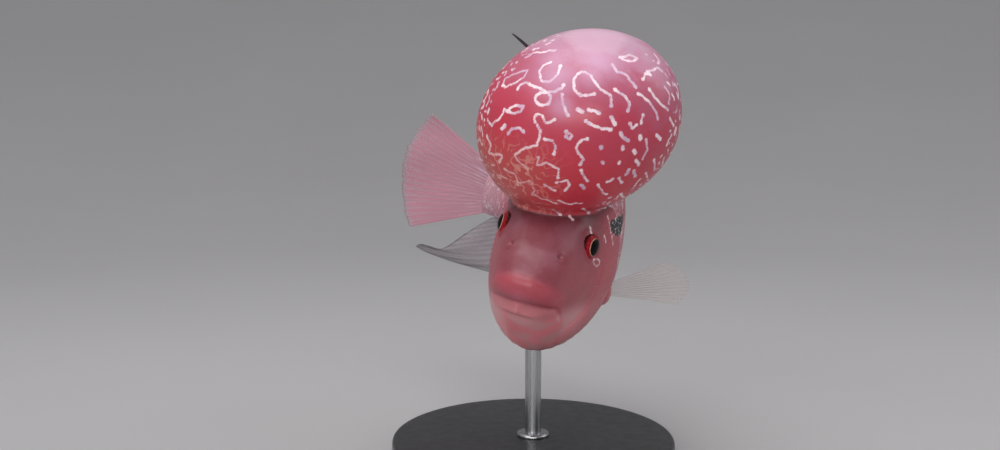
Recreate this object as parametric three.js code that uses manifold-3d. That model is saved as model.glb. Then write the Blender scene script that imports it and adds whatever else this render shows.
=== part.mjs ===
// A flowerhorn cichlid as a still, life-size display model: the head with its nuchal hump faces
// the viewer, banked and a little nose-down, and the tail swings round to the fish's right.
// It stands on a plain round base with one rod.
//
// Everything on the fish is first shaped in a straight frame, in millimetres:
//   x = towards the fish's left, y = distance back from the upper lip, z = up from the lip.
// bend() then curves that frame along the swimming pose.
import * as THREE from "three";
import { mergeVertices } from "three/addons/utils/BufferGeometryUtils.js";
import Module from "manifold-3d";

const wasm = await Module();
wasm.setup();
const { Manifold, Mesh } = wasm;
const { Vector3, MathUtils } = THREE;
const { clamp, lerp, degToRad, smoothstep } = MathUtils;

// Driving dimensions
const STANDARD_LENGTH = 215; // upper lip to the end of the tail's flesh
const GAP = 0.34; // clear space between neighbouring pieces
const HEAD_YAW = -15; // degrees: the nose points to the viewer's left
const HEAD_PITCH = 3; // degrees nose-down
const BANK = 14; // degrees: the fish's left side is lower
const BEND_TOTAL = 78; // degrees that the tail turns from the head
const BEND_FROM = 68; // where behind the lip the bend starts
const BEND_TO = 245; // and where it ends
const LIP_HEIGHT = 106; // the upper lip above the floor
const BASE_RADIUS = 78;
const BASE_THICKNESS = 12;
const BASE_EDGE = 2; // the base's chamfers
const ROD_RADIUS = 4.5;
const ROD_UNDER = 76; // how far behind the lip the rod meets the belly, under the balance point

// Stations along the body: distance back, back's height, belly's height, half width, and how
// square the section's upper half is (1 is an ellipse, smaller is squarer).
const STATIONS = [
  [0, 9, -12, 12, 0.8],
  [10, 17, -18, 16, 0.72],
  [22, 28, -27, 20.5, 0.66],
  [38, 42, -38, 25, 0.62],
  [58, 55, -46, 30, 0.66],
  [80, 65, -48.5, 33, 0.8],
  [100, 66, -47, 32, 0.92],
  [120, 59, -42, 28.5, 1],
  [145, 47, -30, 21.5, 1],
  [170, 35, -15, 14, 1],
  [192, 27, -7, 9, 1],
  [STANDARD_LENGTH, 25.5, -5.5, 6, 1],
];
const BELLY_SQUARE = 1.04; // the same for the lower half of every section
const NOSE_ROUND = 13; // the snout's rounding length
const NOSE_LEVEL = -3; // height of the snout's foremost point
const WIDEST = 0.46; // height of the widest line, as a share of the depth

// The hump leans over by its skew, and its nape fill runs back on to the shoulders. It narrows
// below and behind by these shares of its width, and swells behind by its overhang.
const HUMP = { y: 47, z: 78.5, across: 49.2, along: 48, up: 48, down: 48.5, skew: 0.16 };
const NARROWS = { below: 0.1, behind: 0.08 };
const OVERHANG = 0.12;
const NAPE = { fill: 18, level: 58, depth: 16 };
const EYE = { y: 39, x: 17.6, z: 21, radius: 8.2, rim: 7.9, rimTube: 1.3 };
const NOSTRIL = { y: 15, z: 17, size: [1.6, 1.1, 1.3] };
// The gill cover is an arc round this point, and swells from one station to the other
const GILL = { y: 22, z: 4, radius: 54, flare: 1.3, swellFrom: 40, swellTo: 74 };
const UPPER_LIP = { level: 1.6, droop: 6, tall: 5.4, thick: 3.4, reach: 13 };
const LOWER_LIP = { level: -10, droop: 2, tall: 4.2, thick: 2.9, reach: 11 };
const LIP_FRONT = 1.2; // how far the lips' middle line lies behind the skin's foremost point
const MOUTH = { front: -6, corner: [15, -8.5], hinge: [30, -19] };
const PEDUNCLE_FROM = 160;

// Fins: from and to are stations, shares (lobe, spineEnd and the widths) run along the fin's base,
// leans are degrees back from straight up, and a bow carries the longest ray's tip aside
const DORSAL = {
  from: 104,
  to: 193,
  rays: 27,
  firstSpine: 10,
  spine: 26,
  spineEnd: 0.6,
  notch: 0.16,
  lobe: 43 / 54,
  lobeLength: 33,
  lobeWidth: 0.09,
  thread: 34,
  threadWidth: 0.02,
  lean: [38, 8],
  bow: [0, 38, -14],
};
const ANAL = {
  from: 134,
  to: 195,
  rays: 17,
  lobe: 0.47,
  lobeWidth: 0.11,
  longest: 104,
  shortest: 14,
  lean: [127, 117],
  bow: [0, 5, 18],
};
const CAUDAL = { rays: 17, length: 74, shorterEdge: 9, root: [-3.5, 23.5], spreadUp: 22, spreadDown: 26 };
const PECTORAL = { y: 84, z: -10, height: 11, rays: 11, length: 44, shorterEdge: 9, fan: 44 };
const PELVIC = { y: 90, x: 9, rays: 6, length: 52, shortest: 24, wide: 5 };

// Body profile
function profileAt(y, column) {
  const last = STATIONS.length - 1;
  const at = clamp(y, STATIONS[0][0], STATIONS[last][0]);
  let i = 0;
  while (i < last - 1 && at > STATIONS[i + 1][0]) i++;
  const slope = (k) => {
    const a = STATIONS[Math.max(k - 1, 0)];
    const b = STATIONS[Math.min(k + 1, last)];
    return (b[column] - a[column]) / (b[0] - a[0]);
  };
  const [p, q] = [STATIONS[i], STATIONS[i + 1]];
  const span = q[0] - p[0];
  const t = (at - p[0]) / span;
  const [t2, t3] = [t * t, t * t * t];
  return (
    (2 * t3 - 3 * t2 + 1) * p[column] +
    (t3 - 2 * t2 + t) * span * slope(i) +
    (-2 * t3 + 3 * t2) * q[column] +
    (t3 - t2) * span * slope(i + 1)
  );
}

function noseShare(y) {
  const t = clamp(y / NOSE_ROUND, 0, 1);
  return Math.sqrt(1 - (1 - t) ** 2);
}

function section(y) {
  const top = profileAt(y, 1);
  const bottom = profileAt(y, 2);
  const share = noseShare(y);
  const middle = lerp(NOSE_LEVEL, bottom + (top - bottom) * WIDEST, share);
  return {
    middle,
    up: (top - middle) * share,
    down: (middle - bottom) * share,
    wide: profileAt(y, 3) * share,
    square: profileAt(y, 4),
  };
}

// A point on the body's skin at a distance back and an angle round the section.
function skinPoint(y, angle, grow = 0, flare = 0) {
  const s = section(y);
  const [c, n] = [Math.cos(angle), Math.sin(angle)];
  const power = n > 0 ? s.square : BELLY_SQUARE;
  const swell = flare * smoothstep(y, GILL.swellFrom, GILL.swellTo);
  const x = (s.wide + grow + swell) * Math.sign(c) * Math.abs(c) ** power;
  const z = s.middle + ((n > 0 ? s.up : s.down) + grow) * n;
  return new Vector3(x, y, z);
}

// Half width of the body at a height, for placing what grows from it.
function halfWidthAt(y, z) {
  const s = section(y);
  const n = clamp((z - s.middle) / (z > s.middle ? s.up : s.down), -0.999, 0.999);
  return s.wide * Math.cos(Math.asin(n)) ** (n > 0 ? s.square : BELLY_SQUARE);
}

// Helpers that turn a three.js geometry into a closed solid
function solid(geometry, place) {
  geometry.deleteAttribute("normal");
  geometry.deleteAttribute("uv");
  const position = geometry.getAttribute("position");
  const p = new Vector3();
  for (let i = 0; place && i < position.count; i++) {
    p.fromBufferAttribute(position, i);
    const q = place(p.clone());
    position.setXYZ(i, q.x, q.y, q.z);
  }
  const merged = mergeVertices(geometry, 1e-4);
  const triangles = new Uint32Array(merged.index.array);
  const make = () =>
    new Manifold(
      new Mesh({
        numProp: 3,
        vertProperties: merged.getAttribute("position").array,
        triVerts: triangles,
      }),
    );
  const made = make();
  if (made.volume() >= 0) return made;
  for (let i = 0; i < triangles.length; i += 3) {
    [triangles[i + 1], triangles[i + 2]] = [triangles[i + 2], triangles[i + 1]];
  }
  return make();
}

function largest(manifold) {
  const pieces = manifold.decompose();
  return pieces.reduce((a, b) => (b.volume() > a.volume() ? b : a));
}

function bendAngle(y) {
  const t = clamp((y - BEND_FROM) / (BEND_TO - BEND_FROM), 0, 1);
  return degToRad(BEND_TOTAL) * t * t * (3 - 2 * t);
}

// The spine's course: where each millimetre of it lies after the bend.
const SPINE_STEP = 1;
const SPINE = [new Vector3(0, 0, 0)];
for (let y = 0; y < STANDARD_LENGTH + 120; y += SPINE_STEP) {
  const a = bendAngle(y + SPINE_STEP / 2);
  const last = SPINE[SPINE.length - 1];
  SPINE.push(last.clone().add(new Vector3(-Math.sin(a), Math.cos(a), 0).multiplyScalar(SPINE_STEP)));
}

function bend(p) {
  if (p.y <= 0) return p;
  const i = Math.min(Math.floor(p.y / SPINE_STEP), SPINE.length - 2);
  const centre = SPINE[i].clone().lerp(SPINE[i + 1], p.y / SPINE_STEP - i);
  const a = bendAngle(p.y);
  return new Vector3(centre.x + p.x * Math.cos(a), centre.y + p.x * Math.sin(a), p.z);
}

function geometryOf(manifold, place) {
  const mesh = manifold.getMesh();
  const count = mesh.vertProperties.length / mesh.numProp;
  const values = new Float32Array(count * 3);
  for (let i = 0; i < count; i++) {
    const p = new Vector3().fromArray(mesh.vertProperties, i * mesh.numProp);
    (place ? place(p) : p).toArray(values, i * 3);
  }
  return new THREE.BufferGeometry()
    .setAttribute("position", new THREE.BufferAttribute(values, 3))
    .setIndex(new THREE.BufferAttribute(new Uint32Array(mesh.triVerts), 1));
}

// Body
function bodyLoft(grow = 0, flare = 0) {
  const around = 32;
  const along = 40;
  const end = STANDARD_LENGTH + 1;
  return solid(new THREE.SphereGeometry(1, around, along), (p) => {
    const polar = Math.acos(clamp(p.y, -1, 1)) / Math.PI;
    const share = lerp(polar ** 2, polar, smoothstep(polar, 0, 0.3));
    const y = share * end;
    if (polar < 1e-4) return new Vector3(0, -grow, section(0).middle);
    if (polar > 0.9999) return new Vector3(0, end + grow, section(end).middle);
    return skinPoint(y, Math.atan2(p.z, p.x), grow, flare);
  });
}

function gillCylinder(radius) {
  const width = 120;
  const sides = 72;
  const disc = new THREE.CylinderGeometry(radius, radius, width, sides);
  return solid(disc.rotateZ(Math.PI / 2).translate(0, GILL.y, GILL.z));
}

function slab(fromY, toY) {
  const wide = 300;
  const block = new THREE.BoxGeometry(wide, toY - fromY, wide);
  return solid(block.translate(0, (fromY + toY) / 2, 0));
}

// The wedge of the head that is lower jaw: below the mouth line and ahead of the jaw hinge.
function jawZone(grow) {
  const low = -70;
  const ahead = -20;
  const outline = new THREE.Shape([
    new THREE.Vector2(ahead, MOUTH.front + grow),
    new THREE.Vector2(MOUTH.corner[0], MOUTH.corner[1] + grow),
    new THREE.Vector2(MOUTH.hinge[0] + grow, MOUTH.hinge[1] + grow),
    new THREE.Vector2(MOUTH.hinge[0] + 8 + grow, low),
    new THREE.Vector2(ahead, low),
  ]);
  const depth = 100;
  const wedge = new THREE.ExtrudeGeometry(outline, { depth, bevelEnabled: false });
  return solid(wedge, (p) => new Vector3(p.z - depth / 2, p.x, p.y));
}

// A fleshy lip: a tube with tapering ends that follows the snout between the mouth's corners.
function lip({ level, droop, tall, thick, reach }, grow = 0) {
  const sides = 8;
  const steps = 18;
  const rod = new THREE.CylinderGeometry(1, 1, 1, sides, steps);
  return solid(rod, (p) => {
    const t = p.y * 2;
    const aside = Math.abs(t);
    const y = LIP_FRONT + reach * aside ** 2.1;
    const z = level - droop * aside ** 1.8;
    const x = Math.sign(t) * Math.min(halfWidthAt(y, z), 60 * aside);
    const fade = Math.sqrt(Math.max(1 - aside ** 3.2, 0.05));
    const out = new Vector3(Math.sign(t) * aside ** 1.2, -(1 - aside) - 0.05, 0).normalize();
    const centre = new Vector3(x, y, z).addScaledVector(out, -LIP_FRONT);
    const rise = new Vector3(0, 0, p.z * (tall + grow) * fade);
    return centre.addScaledVector(out, p.x * (thick + grow) * fade).add(rise);
  });
}

function eyeball(side, grow) {
  const ball = new THREE.SphereGeometry(EYE.radius + grow, 16, 12);
  return solid(ball.translate(side * EYE.x, EYE.y, EYE.z));
}

function eyeRim(side) {
  const ring = new THREE.TorusGeometry(EYE.rim, EYE.rimTube, 6, 18);
  const outward = halfWidthAt(EYE.y, EYE.z) - 0.1;
  return solid(ring.rotateY(Math.PI / 2), (p) => {
    const y = EYE.y + p.y;
    const z = EYE.z + p.z;
    const skin = halfWidthAt(y, z);
    return new Vector3(side * (p.x + lerp(outward, skin, 0.8)), y, z);
  });
}

function nostril(side) {
  const pit = new THREE.SphereGeometry(1, 8, 6).scale(...NOSTRIL.size);
  const x = side * halfWidthAt(NOSTRIL.y, NOSTRIL.z);
  return solid(pit.translate(x, NOSTRIL.y, NOSTRIL.z));
}

const SIDES = [["left", 1], ["right", -1]];
const bodyGrown = bodyLoft(GAP);
const headLoft = bodyLoft(0, GILL.flare);
const flared = headLoft.intersect(gillCylinder(GILL.radius - GAP / 2));
let head = flared.subtract(jawZone(GAP)).add(lip(UPPER_LIP));
let jaw = flared.intersect(jawZone(0)).add(lip(LOWER_LIP));
head = head.subtract(lip(LOWER_LIP, GAP));
const eyes = {};
for (const [name, side] of SIDES) {
  head = head.add(eyeRim(side)).subtract(eyeball(side, GAP)).subtract(nostril(side));
  eyes[name] = eyeball(side, 0);
}
jaw = jaw.subtract(lip(UPPER_LIP, GAP));

const bodyBehind = bodyLoft(0).subtract(gillCylinder(GILL.radius + GAP / 2));
const trunk = bodyBehind.intersect(slab(0, PEDUNCLE_FROM - GAP / 2));
const peduncle = bodyBehind.intersect(slab(PEDUNCLE_FROM + GAP / 2, STANDARD_LENGTH + 20));

// Falls away from 1 at the middle, as a bell does
function bell(x, middle, width) {
  return Math.exp(-(((x - middle) / width) ** 2));
}

// The hump: a full round ball that overhangs the forehead and runs down to the nape behind
function humpBall(grow) {
  return solid(new THREE.SphereGeometry(1, 38, 28), (p) => {
    const behind = Math.max(p.y, 0);
    const low = Math.max(-p.z, 0);
    const narrow = 1 - NARROWS.below * low * low - NARROWS.behind * behind;
    const rise = (p.z > 0 ? HUMP.up : HUMP.down) * p.z;
    const fill = NAPE.fill * bell(HUMP.z + rise, NAPE.level, NAPE.depth);
    return new Vector3(
      (HUMP.across + grow) * p.x * narrow + HUMP.skew * rise,
      HUMP.y + (HUMP.along + grow) * p.y * (1 + OVERHANG * behind * low) + fill * behind * behind,
      HUMP.z + rise + grow * p.z,
    );
  });
}
const hump = largest(humpBall(0).subtract(bodyLoft(GAP, GILL.flare + 0.2)));

// Fins. Each is a sheet of rays: base(v) and ray(v) give the root and the way each ray points,
// v runs across the rays, u along them, and every second column is a raised ray.
const EVEN_NOTCH = 0.02; // how far the membrane falls short of the rays' tips, as a share

// Cuts the far face's squares along the same diagonal as the near one's, so that a thin curved
// fin can't cross itself
function splitAlike(block) {
  const far = block.groups[5];
  for (let i = far.start; i < far.start + far.count; i += 6) {
    const [a, b, d, , c] = [0, 1, 2, 3, 4].map((k) => block.index.getX(i + k));
    [a, b, c, a, c, d].forEach((corner, k) => block.index.setX(i + k, corner));
  }
}

function fin({ rays, rows, base, ray, bow, across, thick, ridge, scallop }) {
  const columns = rays * 2;
  const block = new THREE.BoxGeometry(1, 1, 1, columns, rows, 1);
  splitAlike(block);
  return solid(block, (p) => {
    const column = Math.round((p.x + 0.5) * columns);
    const v = column / columns;
    const u = p.y + 0.5;
    const onRay = column % 2 === 1;
    const reach = onRay ? 1 : 1 - (scallop ? scallop(v) : EVEN_NOTCH) * u;
    const taper = lerp(1, 0.42, u);
    const half = (thick + (onRay ? ridge : 0)) * taper;
    const at = base(v).add(ray(v).multiplyScalar(u * reach));
    if (bow) at.add(bow(v, u));
    return at.add(across(v).multiplyScalar(half * Math.sign(p.z)));
  });
}

const SIDEWAYS = () => new Vector3(1, 0, 0);
const inPlane = (lean, length) =>
  new Vector3(0, Math.sin(degToRad(lean)) * length, Math.cos(degToRad(lean)) * length);
const ROOT = 4; // how deep a fin's root is sunk before it is cut back to the skin

// Spines that lengthen over the first fifth, then soft rays that draw out into one long thread
function dorsalLength(v) {
  const spine = lerp(DORSAL.firstSpine, DORSAL.spine, Math.min(v / 0.2, 1));
  const even = 6 * v - 12 * smoothstep(v, 0.85, 1);
  const soft = DORSAL.lobeLength * bell(v, DORSAL.lobe, DORSAL.lobeWidth);
  return spine + even + soft + DORSAL.thread * bell(v, DORSAL.lobe, DORSAL.threadWidth);
}
const dorsal = fin({
  rays: DORSAL.rays,
  rows: 7,
  base: (v) => {
    const y = lerp(DORSAL.from, DORSAL.to, v);
    return new Vector3(0, y, profileAt(y, 1) - ROOT);
  },
  ray: (v) => {
    const rearLean = 150 * Math.max(v - DORSAL.lobe, 0);
    return inPlane(lerp(...DORSAL.lean, smoothstep(v, 0.3, DORSAL.lobe)) + rearLean, dorsalLength(v));
  },
  bow: (v, u) => {
    const reached = (u * dorsalLength(v)) / dorsalLength(DORSAL.lobe);
    return new Vector3(...DORSAL.bow).multiplyScalar(reached ** 4);
  },
  across: SIDEWAYS,
  thick: 0.45,
  ridge: 0.45,
  scallop: (v) => (v < DORSAL.spineEnd ? DORSAL.notch : EVEN_NOTCH),
});

const anal = fin({
  rays: ANAL.rays,
  rows: 6,
  base: (v) => {
    const y = lerp(ANAL.from, ANAL.to, v);
    return new Vector3(0, y, profileAt(y, 2) + ROOT);
  },
  ray: (v) => {
    const front = lerp(22 + 66 * v, ANAL.longest, smoothstep(v, 0.28, ANAL.lobe));
    const rear = lerp(ANAL.longest, ANAL.shortest, (v - ANAL.lobe) / (1 - ANAL.lobe));
    const lean = lerp(...ANAL.lean, smoothstep(v, 0, 0.5)) - 8 * Math.max(v - ANAL.lobe, 0);
    return inPlane(lean, v < ANAL.lobe ? front : rear);
  },
  bow: (v, u) => new Vector3(...ANAL.bow).multiplyScalar(bell(v, ANAL.lobe, ANAL.lobeWidth) * u ** 3),
  across: SIDEWAYS,
  thick: 0.45,
  ridge: 0.4,
});

const caudal = fin({
  rays: CAUDAL.rays,
  rows: 7,
  base: (v) => new Vector3(0, STANDARD_LENGTH - 5, lerp(...CAUDAL.root, v)),
  ray: (v) => {
    const fan = (v - 0.5) * 2;
    const lean = 90 - fan * (fan > 0 ? CAUDAL.spreadUp : CAUDAL.spreadDown);
    return inPlane(lean, CAUDAL.length - CAUDAL.shorterEdge * fan * fan);
  },
  across: SIDEWAYS,
  thick: 0.5,
  ridge: 0.45,
});

// Pectorals: the left one rows out sideways, the right one lies back along the flank
const ROWING = { out: 0.96, back: 0.2, rise: 0.34, tilt: 74 };
const FOLDED = { out: 0.06, back: 0.99, rise: 0.1, tilt: 0 };
function pectoral(side, pose) {
  const skin = halfWidthAt(PECTORAL.y, PECTORAL.z);
  const along = new Vector3(side * pose.out, pose.back, pose.rise).normalize();
  const outward = new Vector3(-side * pose.back, pose.out, 0).normalize();
  const tilt = degToRad(pose.tilt);
  const spread = new Vector3(0, 0, Math.cos(tilt)).addScaledVector(outward, Math.sin(tilt));
  spread.addScaledVector(along, -spread.dot(along)).normalize();
  const normal = new Vector3().crossVectors(along, spread).normalize();
  return fin({
    rays: PECTORAL.rays,
    rows: 4,
    base: (v) => {
      const middle = new Vector3(side * (skin - ROOT), PECTORAL.y, PECTORAL.z);
      return middle.addScaledVector(spread, (v - 0.5) * PECTORAL.height);
    },
    ray: (v) => {
      const fan = degToRad((v - 0.5) * PECTORAL.fan);
      const length = PECTORAL.length + ROOT - PECTORAL.shorterEdge * (2 * v - 1) ** 2;
      const middle = along.clone().multiplyScalar(Math.cos(fan) * length);
      return middle.addScaledVector(spread, Math.sin(fan) * length);
    },
    across: () => normal.clone(),
    thick: 0.4,
    ridge: 0.35,
  });
}

function pelvic(side) {
  const belly = profileAt(PELVIC.y, 2);
  return fin({
    rays: PELVIC.rays,
    rows: 5,
    base: (v) => {
      const across = v * PELVIC.wide;
      return new Vector3(side * (PELVIC.x + across), PELVIC.y + across, belly + 5 + v);
    },
    ray: (v) => {
      const length = lerp(PELVIC.length, PELVIC.shortest, v ** 0.7);
      return new Vector3(side * (0.1 + 0.22 * v), 0.93, -0.28 + 0.14 * v).multiplyScalar(length);
    },
    across: () => new Vector3(-side * 0.3, 0.25, 0.9),
    thick: 0.5,
    ridge: 0.4,
  });
}

// The parts that grow from the body are cut back to its skin, a gap away
const clear = (piece) => largest(piece.subtract(bodyGrown));

const FLESH = { roughness: 0.35, metalness: 0 };
const MATERIALS = {
  hump: new THREE.MeshStandardMaterial({ color: 0xd2515f, ...FLESH }),
  head: new THREE.MeshStandardMaterial({ color: 0xb06a7c, ...FLESH }),
  body: new THREE.MeshStandardMaterial({ color: 0xc25f6c, ...FLESH }),
  fin: new THREE.MeshStandardMaterial({ color: 0xb58490, roughness: 0.4, metalness: 0 }),
  clearFin: new THREE.MeshStandardMaterial({ color: 0xcbbcbc, roughness: 0.3, metalness: 0 }),
  eye: new THREE.MeshStandardMaterial({ color: 0x8d1c22, roughness: 0.08, metalness: 0 }),
  stand: new THREE.MeshStandardMaterial({ color: 0x2b2b2d, roughness: 0.5, metalness: 0 }),
  rod: new THREE.MeshStandardMaterial({ color: 0xb9bbbd, roughness: 0.25, metalness: 1 }),
};

const fish = new THREE.Group();
fish.rotation.order = "ZXY";
fish.rotation.set(degToRad(HEAD_PITCH), degToRad(BANK), degToRad(HEAD_YAW));

function addPart(name, manifold, material) {
  const mesh = new THREE.Mesh(geometryOf(largest(manifold), bend), MATERIALS[material]);
  mesh.name = name;
  fish.add(mesh);
}

addPart("head", head, "head");
addPart("lower_jaw", jaw, "head");
addPart("nuchal_hump", hump, "hump");
addPart("trunk", trunk, "body");
addPart("tail_peduncle", peduncle, "body");
addPart("dorsal_fin", clear(dorsal.subtract(humpBall(GAP))), "fin");
addPart("anal_fin", clear(anal), "fin");
addPart("caudal_fin", clear(caudal), "fin");
for (const [name, side] of SIDES) {
  addPart("eye_" + name, eyes[name], "eye");
  addPart("pectoral_fin_" + name, clear(pectoral(side, side > 0 ? ROWING : FOLDED)), "clearFin");
  addPart("pelvic_fin_" + name, clear(pelvic(side)), "fin");
}

// Stand: the rod meets the belly under the balance point, and its top is shaped to the skin
const rodTop = bend(new Vector3(0, ROD_UNDER, profileAt(ROD_UNDER, 2)));
fish.position.set(0, 0, 0);
fish.updateMatrix();
const under = rodTop.clone().applyMatrix4(fish.matrix);
fish.position.set(-under.x, -under.y, LIP_HEIGHT);
fish.updateMatrixWorld(true);

const placedBody = solid(geometryOf(bodyGrown, bend).applyMatrix4(fish.matrixWorld));
const rodBottom = BASE_THICKNESS + GAP;
const rodLength = under.z + LIP_HEIGHT + 12 - rodBottom; // it starts out long, inside the belly
const rodBlank = new THREE.CylinderGeometry(ROD_RADIUS, ROD_RADIUS, rodLength, 20);
const rod = largest(
  solid(rodBlank.rotateX(Math.PI / 2).translate(0, 0, rodBottom + rodLength / 2)).subtract(placedBody),
);

const baseProfile = [
  new THREE.Vector2(0, 0),
  new THREE.Vector2(BASE_RADIUS - BASE_EDGE, 0),
  new THREE.Vector2(BASE_RADIUS, BASE_EDGE),
  new THREE.Vector2(BASE_RADIUS, BASE_THICKNESS - BASE_EDGE),
  new THREE.Vector2(BASE_RADIUS - BASE_EDGE, BASE_THICKNESS),
  new THREE.Vector2(0, BASE_THICKNESS),
];
const base = solid(new THREE.LatheGeometry(baseProfile, 48).rotateX(Math.PI / 2));

const model = new THREE.Group();
model.add(fish);
const rodMesh = new THREE.Mesh(geometryOf(rod), MATERIALS.rod);
rodMesh.name = "stand_rod";
const baseMesh = new THREE.Mesh(geometryOf(base), MATERIALS.stand);
baseMesh.name = "stand_base";
model.add(rodMesh, baseMesh);

export default model;
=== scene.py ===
"""A flowerhorn cichlid as a still, life-size model on a round stand.

Shapes are worked out in a straight frame in millimetres: x towards the fish's left, y back from
the upper lip, z up from it. placed() bends that frame along the swimming pose and turns it into
the row frame, in metres.
"""
import math
import random

import bpy
import numpy as np
from mathutils import Matrix, Vector, noise
from mathutils.bvhtree import BVHTree
from mathutils.kdtree import KDTree


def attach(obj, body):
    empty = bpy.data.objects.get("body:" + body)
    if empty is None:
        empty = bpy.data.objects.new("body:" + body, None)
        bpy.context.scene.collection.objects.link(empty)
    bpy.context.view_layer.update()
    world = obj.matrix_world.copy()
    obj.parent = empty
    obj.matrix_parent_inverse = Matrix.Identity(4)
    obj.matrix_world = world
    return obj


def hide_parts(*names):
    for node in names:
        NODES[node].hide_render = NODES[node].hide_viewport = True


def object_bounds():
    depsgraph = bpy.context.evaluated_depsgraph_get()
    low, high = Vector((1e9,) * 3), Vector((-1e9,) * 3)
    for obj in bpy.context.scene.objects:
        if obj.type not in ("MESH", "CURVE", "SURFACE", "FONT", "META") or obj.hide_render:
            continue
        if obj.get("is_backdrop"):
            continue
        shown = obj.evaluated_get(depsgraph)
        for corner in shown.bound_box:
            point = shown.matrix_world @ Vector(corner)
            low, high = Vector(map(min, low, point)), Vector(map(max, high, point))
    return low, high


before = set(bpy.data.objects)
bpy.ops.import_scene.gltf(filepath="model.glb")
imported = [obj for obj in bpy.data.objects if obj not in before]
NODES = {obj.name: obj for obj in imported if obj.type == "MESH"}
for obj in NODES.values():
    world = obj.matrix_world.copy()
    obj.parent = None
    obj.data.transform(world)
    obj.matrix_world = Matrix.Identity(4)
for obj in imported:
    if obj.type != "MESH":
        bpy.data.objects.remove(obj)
cad_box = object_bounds()

# Driving dimensions in millimetres and degrees, the same as the solids have
STANDARD_LENGTH = 215
HEAD_YAW, HEAD_PITCH, BANK = -15, 3, 14
BEND_TOTAL, BEND_FROM, BEND_TO = 78, 68, 245
LIP_HEIGHT = 106
ROD_UNDER = 76
BASE_RADIUS, BASE_THICKNESS = 78, 12
TOP, BOTTOM, HALF_WIDTH, SQUARE = 1, 2, 3, 4  # the columns after each station's distance back
STATIONS = np.array([
    [0, 9, -12, 12, 0.8], [10, 17, -18, 16, 0.72], [22, 28, -27, 20.5, 0.66],
    [38, 42, -38, 25, 0.62], [58, 55, -46, 30, 0.66], [80, 65, -48.5, 33, 0.8],
    [100, 66, -47, 32, 0.92], [120, 59, -42, 28.5, 1], [145, 47, -30, 21.5, 1],
    [170, 35, -15, 14, 1], [192, 27, -7, 9, 1], [215, 25.5, -5.5, 6, 1]])
BELLY_SQUARE = 1.04
NOSE_ROUND, NOSE_LEVEL, WIDEST = 13, -3, 0.46
HUMP_CENTRE = np.array([0, 47, 78.5])
HUMP_ACROSS, HUMP_ALONG, HUMP_UP, HUMP_DOWN, HUMP_SKEW = 49.2, 48, 48, 48.5, 0.16
NARROWS_BELOW, NARROWS_BEHIND, OVERHANG = 0.1, 0.08, 0.12  # as shares of the hump's own sizes
NAPE_FILL, NAPE_LEVEL, NAPE_DEPTH = 18, 58, 16
EYE_CENTRE, EYE_RADIUS = (17.6, 39, 21), 8.2
GILL_CENTRE, GILL_RADIUS, GILL_FLARE = (22, 4), 54, 1.3
MOUTH_LINE = ((-4, 15, 30), (-5.4, -8.5, -19))  # distances back, and the mouth's height at each
LIP_FRONT = 1.2  # how far the lips' middle line lies behind the skin's foremost point
NOSTRIL = (15, 17)  # back and up, as the pectoral fins' root
PECTORAL_ROOT = (84, -10)
PELVIC_OUT, PELVIC_BACK = 9, 90
DORSAL_BASE, DORSAL_LOBE = (104, 193), 43 / 54  # from and to, and where the lobe is as a share
ANAL_BASE, ANAL_LOBE = (134, 195), 0.47
CAUDAL_BASE = (-3.5, 23.5)  # the tail root's lowest and highest point
MM = 0.001

# The photo's view: where the upper lip is in the frame, and how far the camera is from it
CAMERA_TILT = 5.3
LIP_PIXEL, LIP_DEPTH, FRAME_SIZE = (520, 290), 470, (1000, 450)


# Small mathematics
def smoothstep(x, low, high):
    t = np.clip((np.asarray(x, float) - low) / (high - low), 0, 1)
    return t * t * (3 - 2 * t)


def lerp(a, b, t):
    return a + (b - a) * t


def bell(x, centre, width):
    return np.exp(-((x - centre) / width) ** 2)


def circle(count):
    return np.linspace(0, 2 * math.pi, count, endpoint=False)


def stack(*columns):
    return np.stack(np.broadcast_arrays(*[np.asarray(c, float) for c in columns]), -1)


def unit(v):
    return v / np.maximum(np.linalg.norm(v, axis=-1, keepdims=True), 1e-9)


def roughly(points, size, seed=0):
    """Smooth noise from about -1 to 1 at each point; size is its grain in millimetres."""
    shift = Vector((seed * 17.3, seed * 5.1, seed * 9.7))
    return np.array([noise.noise(Vector(p) / size + shift) for p in points])


# The body's form
def profile(y, column):
    ys, values = STATIONS[:, 0], STATIONS[:, column]
    last = len(ys) - 1
    k = np.arange(last + 1)
    before, after = np.maximum(k - 1, 0), np.minimum(k + 1, last)
    slope = (values[after] - values[before]) / (ys[after] - ys[before])
    at = np.clip(y, ys[0], ys[-1])
    i = np.clip(np.searchsorted(ys, at, side="right") - 1, 0, last - 1)
    span = ys[i + 1] - ys[i]
    t = (at - ys[i]) / span
    return ((2 * t**3 - 3 * t**2 + 1) * values[i] + (t**3 - 2 * t**2 + t) * span * slope[i]
            + (-2 * t**3 + 3 * t**2) * values[i + 1] + (t**3 - t**2) * span * slope[i + 1])


def section(y):
    """A station's middle height, its reach up and down, its half width and its squareness."""
    y = np.asarray(y, float)
    share = np.sqrt(1 - (1 - np.clip(y / NOSE_ROUND, 0, 1)) ** 2)
    top, bottom = profile(y, TOP), profile(y, BOTTOM)
    middle = lerp(NOSE_LEVEL, bottom + (top - bottom) * WIDEST, share)
    wide = profile(y, HALF_WIDTH) * share
    return middle, (top - middle) * share, (middle - bottom) * share, wide, profile(y, SQUARE)


def skin_point(y, angle, grow=0.0):
    middle, up, down, wide, square = section(y)
    c, n = np.cos(angle), np.sin(angle)
    power = np.where(n > 0, square, BELLY_SQUARE)
    x = (wide + grow) * np.sign(c) * np.abs(c) ** power
    return stack(x, y, middle + (np.where(n > 0, up, down) + grow) * n)


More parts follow.
